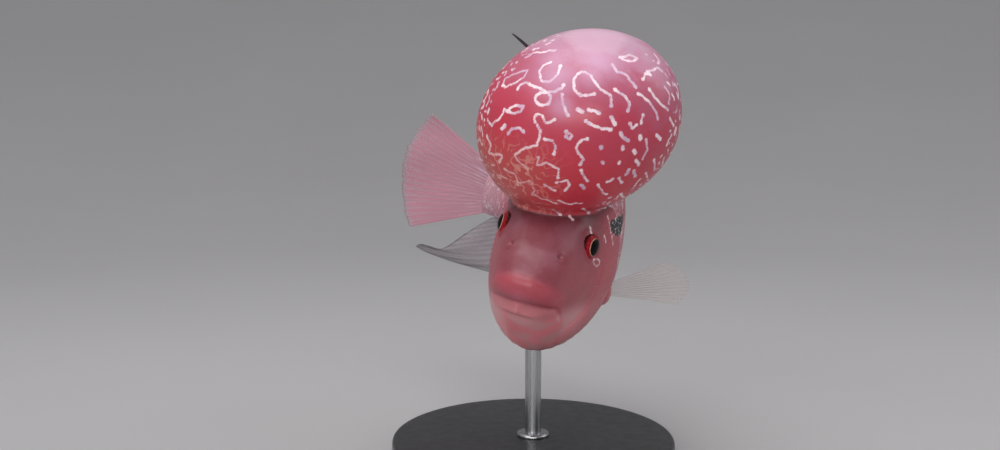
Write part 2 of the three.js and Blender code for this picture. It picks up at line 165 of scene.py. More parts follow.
def half_width(y, z):
    middle, up, down, wide, square = section(y)
    z = np.asarray(z, float)
    n = np.clip((z - middle) / np.maximum(np.where(z > middle, up, down), 1e-6), -0.999, 0.999)
    return wide * np.cos(np.arcsin(n)) ** np.where(n > 0, square, BELLY_SQUARE)


def hump_point(d):
    """A point on the hump for a direction from its middle; the nape behind it is filled out."""
    behind, low = np.maximum(d[..., 1], 0), np.maximum(-d[..., 2], 0)
    narrow = 1 - NARROWS_BELOW * low**2 - NARROWS_BEHIND * behind
    rise = np.where(d[..., 2] > 0, HUMP_UP, HUMP_DOWN) * d[..., 2]
    fill = NAPE_FILL * bell(HUMP_CENTRE[2] + rise, NAPE_LEVEL, NAPE_DEPTH) * behind**2
    return HUMP_CENTRE + stack(HUMP_ACROSS * d[..., 0] * narrow + HUMP_SKEW * rise,
                               HUMP_ALONG * d[..., 1] * (1 + OVERHANG * behind * low) + fill, rise)


def hump_share(p):
    """1 on the hump's surface, less inside it and more outside it."""
    x, y, rise = (p - HUMP_CENTRE).T
    z = rise / np.where(rise > 0, HUMP_UP, HUMP_DOWN)
    low = np.clip(-z, 0, 1)
    spread = NAPE_FILL * bell(p[:, 2], NAPE_LEVEL, NAPE_DEPTH) + OVERHANG * HUMP_ALONG * low + 1e-6
    behind = (np.sqrt(HUMP_ALONG**2 + 4 * spread * np.maximum(y, 0)) - HUMP_ALONG) / (2 * spread)
    narrow = 1 - NARROWS_BELOW * low**2 - NARROWS_BEHIND * np.minimum(behind, 1)
    x = (x - HUMP_SKEW * rise) / (HUMP_ACROSS * narrow)
    return np.linalg.norm(stack(x, np.where(y > 0, behind, y / HUMP_ALONG), z), axis=-1)


# The pose
def bend_angle(y):
    return math.radians(BEND_TOTAL) * smoothstep(y, BEND_FROM, BEND_TO)


SPINE_STEPS = np.arange(0, STANDARD_LENGTH + 140)
SPINE_ANGLES = bend_angle(SPINE_STEPS[:-1] + 0.5)
SPINE = np.vstack([[0, 0], np.cumsum(stack(-np.sin(SPINE_ANGLES), np.cos(SPINE_ANGLES)), axis=0)])


def bend(p):
    y = np.maximum(p[..., 1], 0)
    a = bend_angle(p[..., 1])
    x = np.interp(y, SPINE_STEPS, SPINE[:, 0]) + p[..., 0] * np.cos(a)
    back = np.interp(y, SPINE_STEPS, SPINE[:, 1]) + p[..., 0] * np.sin(a) + np.minimum(p[..., 1], 0)
    return stack(x, back, p[..., 2])


TURN = np.array(Matrix.Rotation(math.radians(HEAD_YAW), 3, "Z")
                @ Matrix.Rotation(math.radians(HEAD_PITCH), 3, "X")
                @ Matrix.Rotation(math.radians(BANK), 3, "Y"))
OVER_ROD = bend(np.array([0, ROD_UNDER, float(profile(ROD_UNDER, BOTTOM))])) @ TURN.T
LIP = np.array([-OVER_ROD[0], -OVER_ROD[1], LIP_HEIGHT])


def placed(p):
    return (bend(np.asarray(p, float)) @ TURN.T + LIP) * MM


# Meshes
def make_object(name, points, faces, place=True):
    mesh = bpy.data.meshes.new(name)
    where = placed(points) if place else points
    mesh.from_pydata(where.tolist(), [], [list(map(int, f)) for f in faces])
    mesh.polygons.foreach_set("use_smooth", [True] * len(mesh.polygons))
    obj = bpy.data.objects.new(name, mesh)
    bpy.context.scene.collection.objects.link(obj)
    return obj


def store(obj, name, values):
    """Keeps a number or a point for each vertex, for the materials to read."""
    values = np.asarray(values, np.float32)
    kind = "FLOAT_VECTOR" if values.ndim == 2 else "FLOAT"
    layer = obj.data.attributes.new(name, kind, "POINT")
    layer.data.foreach_set("vector" if values.ndim == 2 else "value", values.ravel())


def grid_faces(rows, columns, start=0, close=False):
    wrap = columns if close else columns - 1
    r, c = np.meshgrid(np.arange(rows - 1), np.arange(wrap), indexing="ij")
    n = (c + 1) % columns
    return (start + np.stack([r * columns + c, r * columns + n, (r + 1) * columns + n,
                              (r + 1) * columns + c], -1)).reshape(-1, 4).tolist()


def ringed(rings):
    """A closed shape from rings of points, (rows, columns, 3), with its two ends capped."""
    rows, columns = rings.shape[:2]
    faces = grid_faces(rows, columns, close=True)
    faces += [list(range(columns))[::-1], list(range((rows - 1) * columns, rows * columns))]
    return rings.reshape(-1, 3), faces


def together(shapes):
    points, faces = [], []
    for p, f in shapes:
        start = sum(len(q) for q in points)
        points.append(p)
        faces += [[i + start for i in face] for face in f]
    return np.vstack(points), faces


# One skin for all the flesh
# Each lip, a little thinner than the solids': height, droop at its corners, half height, thickness,
# and how far back it reaches
LIPS = {"upper": (1.6, 6, 5.0, 2.5, 13), "lower": (-10, 2, 3.4, 1.3, 11)}
BODY_GRID, HUMP_GRID, LIP_GRID, PAD_GRID = (150, 96), (70, 110), (61, 24), (16, 20)
VOXEL = 0.85


def body_shape():
    t = np.linspace(0.002, 1, BODY_GRID[0])
    y = (t**2 * 0.3 + t * 0.7) * (STANDARD_LENGTH + 1)
    angle = circle(BODY_GRID[1])
    return ringed(skin_point(y[:, None], angle[None, :]))


def hump_shape():
    polar = np.linspace(0.01, math.pi - 0.01, HUMP_GRID[0])[:, None]
    turn = circle(HUMP_GRID[1])[None, :]
    return ringed(hump_point(stack(np.sin(polar) * np.cos(turn), np.sin(polar) * np.sin(turn),
                                   np.cos(polar))))


def lip_line(t, level, droop, reach):
    """The middle line of a lip; t runs from -1 to 1 between its corners."""
    side = np.abs(t)
    y, z = LIP_FRONT + reach * side**2.1, level - droop * side**1.8
    return stack(np.sign(t) * np.minimum(half_width(y, z), 60 * side), y, z)


def lip_shape(level, droop, tall, thick, reach):
    t = np.linspace(-1, 1, LIP_GRID[0])
    side = np.abs(t)
    fade = np.sqrt(np.maximum(1 - side**3.2, 0.03))[:, None]
    out = unit(stack(np.sign(t) * side**1.2, -(1 - side) - 0.05, 0 * t))
    turn = circle(LIP_GRID[1])
    rim = (out[:, None, :] * (np.cos(turn)[None, :, None] * thick)
           + np.array([0, 0, 1]) * np.sin(turn)[None, :, None] * tall)
    centre = lip_line(t, level, droop, reach) - out * LIP_FRONT
    return ringed(centre[:, None, :] + rim * fade[..., None])


def fin_pad(x, y, z, sizes):
    """The fleshy pad that a paired fin grows from."""
    polar = np.linspace(0.05, math.pi - 0.05, PAD_GRID[0])[:, None]
    turn = circle(PAD_GRID[1])[None, :]
    ball = stack(np.sin(polar) * np.cos(turn), np.cos(polar), np.sin(polar) * np.sin(turn))
    return ringed(np.array([x, y, z]) + ball * np.array(sizes))


def relax(points, edges, weight, rounds):
    """Moves each point towards the middle of its neighbours, by its own weight."""
    for _ in range(rounds):
        total = np.zeros_like(points)
        for axis in range(3):
            total[:, axis] = (np.bincount(edges[:, 0], points[edges[:, 1], axis], len(points))
                              + np.bincount(edges[:, 1], points[edges[:, 0], axis], len(points)))
        count = np.bincount(edges.ravel(), minlength=len(points))[:, None]
        points = lerp(points, total / np.maximum(count, 1), weight[:, None])
    return points


def outward(points, faces):
    """The way out of the skin at each point."""
    quads = np.array([f if len(f) == 4 else [*f, f[-1]] for f in faces])
    across = np.cross(points[quads[:, 2]] - points[quads[:, 0]], points[quads[:, 3]] - points[quads[:, 1]])
    normal = np.zeros_like(points)
    for k in range(4):
        for axis in range(3):
            normal[:, axis] += np.bincount(quads[:, k], across[:, axis], len(points))
    return unit(normal)


def gill_distance(p):
    return np.hypot(p[:, 1] - GILL_CENTRE[0], p[:, 2] - GILL_CENTRE[1])


def eye_distance(p):
    return np.hypot(p[:, 1] - EYE_CENTRE[1], p[:, 2] - EYE_CENTRE[2])


def mouth_height(y):
    return np.interp(y, *MOUTH_LINE)


SOCKET = 5.9
EYE_OUT = 0.4  # how far the eyeball stands out of the solid's place
EYE_FORWARD, EYE_UP = 20, 6  # degrees that it looks forward and up
RIM = 6.9
CHEEK_CENTRE, CHEEK_RADIUS = (18, 6), 35
UNDER_JAW = 44  # how far back the folds of the throat are deepest


def sculpt(p, faces):
    """Works the skin's folds, pits and rims into the joined form."""
    out = outward(p, faces)
    off_hump = smoothstep(hump_share(p), 1.02, 1.08)
    side = np.sign(p[:, 0])
    y, z = p[:, 1], p[:, 2]

    # gill cover: it swells towards its edge, then steps down to the flank
    g = gill_distance(p)
    swell = GILL_FLARE * smoothstep(y, 40, 74) * (1 - smoothstep(g, GILL_RADIUS - 0.8, GILL_RADIUS + 0.6))
    groove = -0.9 * bell(g, GILL_RADIUS + 1, 0.9) * (y > 40) * (np.abs(z - GILL_CENTRE[1]) < 60)
    fold = np.hypot(y - CHEEK_CENTRE[0], z - CHEEK_CENTRE[1])
    cheek = -0.4 * bell(fold, CHEEK_RADIUS, 1.1) * (y > 36) * (z < 14)
    p = p + (side * swell * off_hump)[:, None] * np.array([1, 0, 0])
    push = (groove + cheek) * off_hump
    across = np.abs(p[:, 0])

    # eyes: a low fleshy rim round a socket that the eyeball sits in
    e = eye_distance(p)
    near = (across > 14) & (y < 60) & (hump_share(p) > 1.005)
    push += 0.8 * bell(e, RIM, 0.8) * near
    push += 0.9 * bell(z - EYE_CENTRE[2], 8.5, 3.2) * bell(y, EYE_CENTRE[1] + 1, 9) * near

    # nostrils, mouth and the folds of the throat
    for s in (-1, 1):
        pit = np.array([s * float(half_width(*NOSTRIL)), *NOSTRIL])
        d = np.linalg.norm(p - pit, axis=1)
        push += 0.45 * bell(d, 2.1, 0.7) - 1.3 * bell(d, 0, 1.1)
    gap = z - mouth_height(y)
    push -= 0.4 * bell(gap, 0, 0.7) * (1 - smoothstep(y, 11, 16))
    push -= 0.4 * bell(gap, 0, 1.3) * (y > 12) * (1 - smoothstep(y, 22, 30))
    throat = smoothstep(-z, 26, 40) * bell(y, UNDER_JAW, 16)
    push += 0.2 * np.sin(across * 1.15) * throat

    # nothing alive is quite even
    push += 0.45 * roughly(p, 17, 1) * (1 - off_hump) + 0.22 * roughly(p, 8, 2) * off_hump
    push += 0.05 * roughly(p, 1.9, 3) * off_hump
    p = p + out * push[:, None]

    # the skin ends under the eyeball's front
    across = np.abs(p[:, 0])
    inside = near & (e < SOCKET + 0.5)
    ball = EYE_CENTRE[0] + EYE_OUT + np.sqrt(np.maximum(EYE_RADIUS**2 - e**2, 0))
    floor = lerp(ball - 1.0, across, smoothstep(e, SOCKET - 0.5, SOCKET + 0.4))
    p[inside, 0] = (side * np.minimum(across, floor))[inside]
    return p


def make_skin():
    """Joins body, hump, lips and fin pads into one closed skin, evens out the seams and sculpts it."""
    pectoral_out = float(half_width(82, -10)) - 1.5
    pelvic_up = float(profile(91, BOTTOM)) + 3
    pads = [fin_pad(s * pectoral_out, 82, -11, (3.6, 8, 6.4)) for s in (-1, 1)]
    pads += [fin_pad(s * 10, 91, pelvic_up, (5.4, 8, 4)) for s in (-1, 1)]
    shapes = [body_shape(), hump_shape(), *[lip_shape(*v) for v in LIPS.values()], *pads]
    rough = make_object("flowerhorn_skin", *together(shapes), place=False)
    remesh = rough.modifiers.new("one closed skin", "REMESH")
    remesh.mode, remesh.voxel_size = "VOXEL", VOXEL
    mesh = bpy.data.meshes.new_from_object(rough.evaluated_get(bpy.context.evaluated_depsgraph_get()))
    bpy.data.objects.remove(rough)
    points = np.zeros(len(mesh.vertices) * 3)
    mesh.vertices.foreach_get("co", points)
    points = points.reshape(-1, 3)
    edges = np.zeros(len(mesh.edges) * 2, int)
    mesh.edges.foreach_get("vertices", edges)
    edges = edges.reshape(-1, 2)
    faces = [list(f.vertices) for f in mesh.polygons]
    bpy.data.meshes.remove(mesh)

    x, y, z = points.T
    middle, up, down, wide, _ = section(y)
    n = np.clip((z - middle) / np.maximum(np.where(z > middle, up, down), 1), -1.2, 1.2)
    inset = np.abs(x) - wide * np.sqrt(np.maximum(1 - n**2, 0))
    crease = bell(hump_share(points), 1.0, 0.05) * bell(inset, 0, 7) * (y > 6)
    points = relax(points, edges, np.full(len(points), 0.5), 3)
    points = relax(points, edges, 0.7 * np.clip(crease, 0, 1), 24)
    y, z = points[:, 1], points[:, 2]
    mouth = (y < 24) & (np.abs(z - NOSE_LEVEL) < 16)
    points = relax(points, edges, 0.6 * mouth, 10)
    return sculpt(points, faces), faces


# Markings
# The pale worm marks on the hump's face, one mark a line. The points along each were read off
# the photo's part that starts at MARKS_CORNER, enlarged MARKS_ZOOM times, as pixels across and down.
MARKS_CORNER, MARKS_ZOOM = (395, 10), 4
FACE_MARKS = """
525,190 560,170 600,165 640,160
430,300 442,272 490,250 530,240 515,268 480,290 440,310 430,300
490,320 500,298 522,290 545,300 575,312 605,325 640,325 668,312 675,300
622,205 592,222 575,252 588,285 620,287 650,255 665,222
600,325 565,340 560,365 585,382 620,375 625,345 600,325
740,340 715,320 715,272 742,246 775,254 800,285 825,320 863,345 865,385
745,345 772,343 800,334
880,320 920,345 941,375 930,405
668,335 670,380 690,420
445,405 480,385 515,385 505,404 470,415 445,405
440,400 420,430 395,450 386,465 370,440
638,440 605,455 587,420 560,420 560,450 582,482 575,520 568,545 520,550 480,580 492,602 530,635
450,495 470,476 500,470 516,486
425,475 440,464
600,515 630,525 645,550 636,576
682,486 700,490 711,505 695,518 682,505
730,400 750,408
775,400 815,412
765,445 785,460 830,475 865,480
865,430 880,455
900,490 915,510 930,525
770,515 745,520 725,550 735,575 755,597 740,620
828,546 829,552
829,606 831,610
895,608 896,616
911,548 913,556
957,565 959,575
978,505 983,515
1005,520 1006,560 990,595
870,220 885,246 925,255 945,285 965,306
905,190 935,180 966,190 950,206 915,200 905,190
972,335 1000,350 1022,375 1045,402 1050,435
1015,315 1035,345 1060,370 1092,400
1080,305 1100,340 1095,375
990,420 985,450
940,455 950,475 966,460
1045,500 1062,520
1100,435 1116,462
993,280 998,256 1020,260
1010,245 1050,230 1066,242
365,505 382,545 375,570 430,585 418,606
575,590 562,625 605,610 655,635 650,670
745,645 766,682
745,700 755,716
810,700 830,730 846,740
850,686 870,675
895,670 906,692
955,645 961,668
805,800 850,785 888,790 897,810 880,835
750,790 775,810
905,735 915,750
1003,650 1010,684
648,690 690,680 700,700 680,722
375,400 370,412
345,470 352,502
440,640 482,655 492,700
500,690 540,682 560,720 548,740
560,740 600,760 642,770
600,700 640,722
655,765 695,775 742,770
700,825 712,840
630,800 660,815
935,640 925,660
1075,590 1066,620
1035,600 1040,640
1105,500 1090,540
965,600 975,620
"""
# The few pearl marks beside and below the left eye, and the patches of the hump's colour, the palest of
# them (CAP) partly painted light from above: in millimetres across and up from the hump's middle, as the
# camera looks at it
HEAD_MARKS = [
    [(8.1, -68), (10.1, -68), (11.1, -69.5), (10.1, -71.5), (8.6, -71.5), (7.6, -69.5), (8.1, -68)],
    [(15, -46.5), (16, -50.5), (16.5, -55)],
    [(17, -56.5), (17.5, -60.5)],
    [(22, -58.5), (22.5, -63.5), (22, -67.5)],
    [(13.1, -56.5), (14.1, -59.5)],
    [(20, -69.5), (19.5, -73.5)],
    [(6.1, -52.5), (7.1, -55)],
]
HAZE = [(-13, 16, 11), (-14, 25, 8), (3, 17, 7), (-11, 3, 6), (6, 24, 9)]  # lilac patches and their size
CAP = (6, 39, 17)  # the palest patch, high on the face, and its size
CROWN = unit(np.array([0.1, 0.02, 1.0]))


def camera_axes():
    tilt = math.radians(CAMERA_TILT)
    return (np.array([1.0, 0, 0]), np.array([0, math.cos(tilt), -math.sin(tilt)]),
            np.array([0, math.sin(tilt), math.cos(tilt)]))


def camera_place():
    right, ahead, up = camera_axes()
    x = (LIP_PIXEL[0] - FRAME_SIZE[0] / 2) / FRAME_SIZE[0]
    z = (FRAME_SIZE[1] / 2 - LIP_PIXEL[1]) / FRAME_SIZE[0]
    return (LIP - (ahead + x * right + z * up) * LIP_DEPTH) * MM


def read_off(line):
    """One line of FACE_MARKS in millimetres from the hump's middle, to the nearest half."""
    right, ahead, up = camera_axes()
    away = (placed(HUMP_CENTRE) - camera_place()) / MM
    pixel = MARKS_CORNER + np.array([p.split(",") for p in line.split()], float) / MARKS_ZOOM
    across = (pixel[:, 0] - FRAME_SIZE[0] / 2) * (away @ ahead) / FRAME_SIZE[0] - away @ right
    rise = (FRAME_SIZE[1] / 2 - pixel[:, 1]) * (away @ ahead) / FRAME_SIZE[0] - away @ up
    return np.round(stack(across, rise) * 2) / 2


def face_lines(draw):
    """Points along the marks that were read off, evened out, each with the mark's half width."""
    for knots in [read_off(line) for line in FACE_MARKS.strip().splitlines()] + HEAD_MARKS:
        knots = np.array(knots, float)
        arc = np.concatenate([[0], np.cumsum(np.linalg.norm(np.diff(knots, axis=0), axis=1))])
        at = np.linspace(0, arc[-1], max(int(arc[-1] / 0.4), 3))
        path = stack(*[np.interp(at, arc, knots[:, k]) for k in (0, 1)])
        for _ in range(2):
            path[1:-1] = (path[:-2] + 2 * path[1:-1] + path[2:]) / 4
        slim = np.interp(path[0, 1], [-46.3, -45, -15, -13], [0.6, 0.85, 0.85, 1])
        wide = draw.uniform(0.5, 0.68) * (1 if arc[-1] > 4 else 1.2) * slim
        for k, (a, b) in enumerate(path):
            stir = noise.noise_vector(Vector((a, b, 3.0)) / 2.5) * 0.55
            end = 0.22 * (k < 2 or k > len(path) - 3)
            yield a + stir.x, b + stir.y, wide * (1 + 0.35 * noise.noise(Vector((a, b, 0)) / 1.6)) + end


WANDERING_TRIES = 5200
WANDERING_STEP = 0.45


def wandering_line(draw):
    """One worm mark for the sides that the camera doesn't see: a curling walk in the flat."""
    heading, curl = draw.uniform(0, 6.3), draw.gauss(0, 0.16)
    x = y = 0.0
    steps = int(draw.choice([1, 3, 6, 9, 14, 20, 26, 34]))
    path = []
    for _ in range(steps):
        path.append((x, y))
        heading += curl + draw.gauss(0, 0.16) + (draw.uniform(-1.7, 1.7) if draw.random() < 0.08 else 0)
        x += WANDERING_STEP * math.cos(heading)
        y += WANDERING_STEP * math.sin(heading)
    return np.array(path) - np.mean(path, axis=0)


def tree_of(places):
    tree = KDTree(len(places))
    for i, place in enumerate(places):
        tree.insert(place, i)
    tree.balance()
    return tree


def worm_marks(world, faces):
    """Points along every worm mark, on the skin, each with the mark's half width in millimetres."""
    tree = BVHTree.FromPolygons(world.tolist(), faces)
    right, _, up = camera_axes()
    eye_point, centre = camera_place(), placed(HUMP_CENTRE)
    marks, draw = [], random.Random(7)
    for a, b, wide in face_lines(draw):
        aim = centre + (right * a + up * b) * MM - eye_point
        hit = tree.ray_cast(Vector(eye_point), Vector(unit(aim)))[0]
        if hit is not None:
            marks.append((hit, wide))
    taken = tree_of([place for place, _ in marks])
    view = unit(eye_point - centre)
    chosen = []
    for _ in range(WANDERING_TRIES):
        d = unit(np.array([draw.gauss(0, 1) for _ in range(3)]))
        line = wandering_line(draw)
        start = placed(hump_point(d))
        normal = unit(start - centre)
        size = float(np.linalg.norm(np.ptp(line, axis=0)))
        if float(normal @ view) > 0.5 or d[2] > 0.84 or d[2] < -0.72:
            continue
        if taken.find(Vector(start))[2] < (size * 0.5 + 1.6) * MM:
            continue
        if any((start - q) @ (start - q) < (((size + s) * 0.36 + 1.5) * MM) ** 2 for q, s in chosen):
            continue
        chosen.append((start, size))
        side = unit(np.cross(normal, [0.3, 0.2, 0.93]))
        rise, wide = np.cross(normal, side), draw.uniform(0.4, 0.72)
        for a, b in line:
            marks.append((tree.find_nearest(Vector(start + (side * a + rise * b) * MM))[0], wide))
    return marks


# Distance back, size, lift over the row's line, and how much shorter than tall
FLOWER_SPOTS = [(68, 7, 16, 0.5), (100, 7, 6, 0.8), (119, 9, 0, 0.8), (137, 8.5, 1, 0.8),
                (153, 6.5, -1, 0.8), (166, 4.5, 0, 0.8)]


def flower_spots(p):
    """The black flower marks along the flank and on the gill cover, from 0 to 1."""
    dark = np.zeros(len(p))
    line = 14 - 6 * smoothstep(p[:, 1], 120, 200)
    for y, size, lift, squeeze in FLOWER_SPOTS:
        d = np.hypot((p[:, 1] - y) * squeeze, p[:, 2] - line - lift)
        dark = np.maximum(dark, 1 - smoothstep(d, size * 0.35, size * 1.15))
    return dark


def mark_distance(world, faces, wanted):
    """How far each wanted point lies from the rim of the nearest worm mark, in millimetres."""
    lines = worm_marks(world, faces)
    tree = tree_of([place for place, _ in lines])
    near = np.full(len(world), 9.0)
    for i in np.nonzero(wanted)[0]:
        _, k, distance = tree.find(Vector(world[i]))
        near[i] = distance / MM - lines[k][1]
    return near


def lip_nearness(p):
    near = np.zeros(len(p))
    for level, droop, _, _, reach in LIPS.values():
        line = lip_line(np.linspace(-1, 1, 60), level, droop, reach)
        distance = np.linalg.norm(p[:, None, :] - line[None, :, :], axis=2).min(1)
        near = np.maximum(near, 1 - smoothstep(distance, 2.0, 7.5))
    return near


def skin_marks(obj, p, world, faces):
    """Stores where the skin is hump, lip, gill and so on, as shares from 0 to 1, for its material."""
    x, y, z = p.T
    share, gill = hump_share(p), gill_distance(p)
    on_hump = 1 - smoothstep(share, 1.0, 1.045)
    over_mouth = z - mouth_height(y)
    right, _, up = camera_axes()
    seen = (world - placed(HUMP_CENTRE)) / MM
    across, rise = seen @ right, seen @ up
    front = smoothstep(seen @ unit(camera_place() - placed(HUMP_CENTRE)), 0, 20)
    haze = np.max([bell(np.hypot(across - a, rise - b), 0, size) for a, b, size in HAZE], axis=0)
    cap = bell(np.hypot(across - CAP[0], 1.3 * (rise - CAP[1])), 0, CAP[2])
    masks = {
        "hump": on_hump,
        # the crown share pales the hump towards its top: partly its own colour, partly painted light from
        # above
        "crown": unit(p - HUMP_CENTRE) @ CROWN,
        "mark": mark_distance(world, faces, (on_hump > 0.02) | (x > 8) & (y < 76)),
        "haze": haze * front,
        "cap": cap * front,
        "net": smoothstep(HUMP_CENTRE[2] - z, 4, 26) * (1 - smoothstep(x, -12, 14)),
        "back": smoothstep(y - HUMP_CENTRE[1], -20, 45),
        "lip": lip_nearness(p),
        # painted shade: a darker line along the mouth's crease between the lips
        "mouth": (1 - smoothstep(np.abs(over_mouth), 0.2, 1.6)) * (1 - smoothstep(y, 11, 17)),
        "upper": smoothstep(over_mouth, -0.8, 0.8),
        # chin and belly carry the paler pink underside, partly the fish's own and partly painted light
        "chin_pink_and_painted_light": smoothstep(-z, 5, 17) * (1 - smoothstep(y, 44, 66)),
        # painted shade: a dark band on the face along the crease under the hump's overhang
        "brow_shade": bell(share, 1.0, 0.13) * (1 - on_hump) * (1 - smoothstep(y, 60, 80)),
        # painted shade: darker colour in the groove along the gill cover's edge
        "gill": bell(gill, GILL_RADIUS + 0.8, 1.0) * (y > 40),
        "belly": smoothstep(-z, 22, 46),
        "cheek": smoothstep(np.abs(x), 8, 24) * (1 - smoothstep(z, 4, 34)) * smoothstep(y, 2, 16),
        "speckled": 0.75 * smoothstep(y, 38, 60) + 0.15,
        "tail_root": smoothstep(y, 186, 204),
        "eye_ring": 1 - smoothstep(eye_distance(p), 6.8, 9.5),
        "dark": flower_spots(p),
        "flank": smoothstep(gill, GILL_RADIUS, 60) * (y > 40),
        "rest": p,
    }
    for name, values in masks.items():
        store(obj, name, values)


# Scales
def arc_table(y, upper):
    """Angles round the section at equal steps of arc from the side's middle, and the arc itself."""
    angle = np.linspace(0, math.pi / 2, 60) * (1 if upper else -1)
    ring = skin_point(np.full(60, float(y)), angle)
    arc = np.concatenate([[0], np.cumsum(np.linalg.norm(np.diff(ring, axis=0), axis=1))])
    return angle, arc


SCALE_FROM, SCALES_MEET = 62.0, 118  # where the coat starts, and where its two pieces meet
SCALE_ROW, SCALE_STEP = 3.6, 3.3  # from scale to scale, up the flank and along it
SCALE_HALF_WIDTH, SCALE_LONG = 4.3, 9.2
SCALE_ROWS = 24  # above the flank's middle, and as many below
SCALE_GRID = 7  # points each way over one scale


def make_scales():
    """Overlapping scales on the flanks, each a curved plate whose rim turns down to the skin."""
    draw = random.Random(3)
    u, v = np.meshgrid(np.linspace(-1, 1, SCALE_GRID), np.linspace(0, 1, SCALE_GRID))
    roundness = np.sqrt(np.clip(1 - np.clip(v - 0.35, 0, 1) ** 2 / 0.43, 0.0, 1))
    pieces = {"front": [], "rear": []}
    y, column = SCALE_FROM, 0
    while y < STANDARD_LENGTH - 3:
        shrink = lerp(1, 0.62, float(smoothstep(y, 120, 205)))
        tables = {up: arc_table(y, up) for up in (True, False)}
        for row in range(-SCALE_ROWS, SCALE_ROWS + 1):
            if (row + column) % 2:
                continue
            arc = row * SCALE_ROW * shrink
            angles, arcs = tables[arc >= 0]
            if abs(arc) > arcs[-1] - 0.5:
                continue
            angle = float(np.interp(abs(arc), arcs, np.abs(angles))) * (1 if arc >= 0 else -1)
            size = shrink * draw.uniform(0.95, 1.05)
            for side in (1, -1):
                turn = angle if side > 0 else math.pi - angle
                here = skin_point(np.array([y]), np.array([turn]))
                if hump_share(here)[0] < 1.1 or gill_distance(here)[0] < GILL_RADIUS + 1.2:
                    continue
                radius = max(float(np.linalg.norm(here[0] - np.array([0, y, section(y)[0]]))), 5)
                wide = SCALE_HALF_WIDTH * size * roundness * u / radius
                long = v * SCALE_LONG * size
                tilt = 0.12 * draw.uniform(-1, 1)
                rim = np.maximum(np.abs(u) ** 4, smoothstep(v, 0.8, 1))
                lift = lerp(-0.35, 0.62, v) * (1 - 0.75 * rim) + 0.1 * (1 - u**2)
                p = skin_point((y - 2 + long).ravel(), (turn + side * (wide + tilt * v / radius)).ravel(),
                               lift.ravel())
                spot = (here[0][1] - 60) / 160, 0.5 + side * (0.25 + arc / 340)
                uv = stack(spot[0] + 0.0015 * v, spot[1] + 0.0015 * u).reshape(-1, 2)
                edge = np.maximum(np.abs(u) ** 3, v**3)
                pieces["front" if y < SCALES_MEET else "rear"].append(
                    (p, edge.ravel(), draw.random(), np.repeat(here, len(p), 0), uv))
        column += 1
        y += SCALE_STEP * shrink
    made = []
    for where, plates in pieces.items():
        points, edge, luck, roots, uv = [np.array([q[k] for q in plates]) for k in range(5)]
        points, roots, each = points.reshape(-1, 3), roots.reshape(-1, 3), SCALE_GRID**2
        faces = [f for k in range(len(plates)) for f in grid_faces(SCALE_GRID, SCALE_GRID, k * each)]
        obj = make_object("scales_" + where, points, faces)
        masks = {
            "rest": points,
            "edge": edge.ravel(),
            "luck": np.repeat(luck, each),
            "dark": flower_spots(lerp(roots, points, 0.5)),
            "belly": smoothstep(-roots[:, 2], 18, 42),
            "nape": smoothstep(roots[:, 2], 30, 62),
            "tail_root": smoothstep(roots[:, 1], 186, 204),
        }
        for name, values in masks.items():
            store(obj, name, values)
        layer = obj.data.uv_layers.new(name="OFBake")
        corner = np.zeros(len(obj.data.loops), int)
        obj.data.loops.foreach_get("vertex_index", corner)
        layer.data.foreach_set("uv", uv.reshape(-1, 2)[corner].ravel())
        made.append(obj)
    return made


# Fins
def in_plane(lean, length):
    a = np.radians(lean)
    return stack(0 * length, np.sin(a) * length, np.cos(a) * length)


RAY_COLUMNS = 7
SIDEWAYS = np.array([1.0, 0, 0])
ROOT = 5  # how deep the middle fins start inside the skin
# Ray lengths, leans in degrees back from straight up, and how far a bow carries the longest ray's tip
DORSAL_SPINES, DORSAL_SOFT, DORSAL_THREAD = (10, 26), 33, 34
DORSAL_LEAN, DORSAL_BOW = (38, 8), np.array([0, 38, -14])
ANAL_LONGEST, ANAL_SHORTEST = 104, 14
ANAL_LEAN, ANAL_BOW = (127, 117), np.array([0, 5, 18])
CAUDAL_LENGTH, CAUDAL_SPREAD = 74, (22, 26)  # how far it spreads, up and down
PECTORAL_HEIGHT, PECTORAL_LENGTH, PECTORAL_FAN = 11, 47, 44
PELVIC_LENGTHS, PELVIC_WIDTH = (52, 24), 5


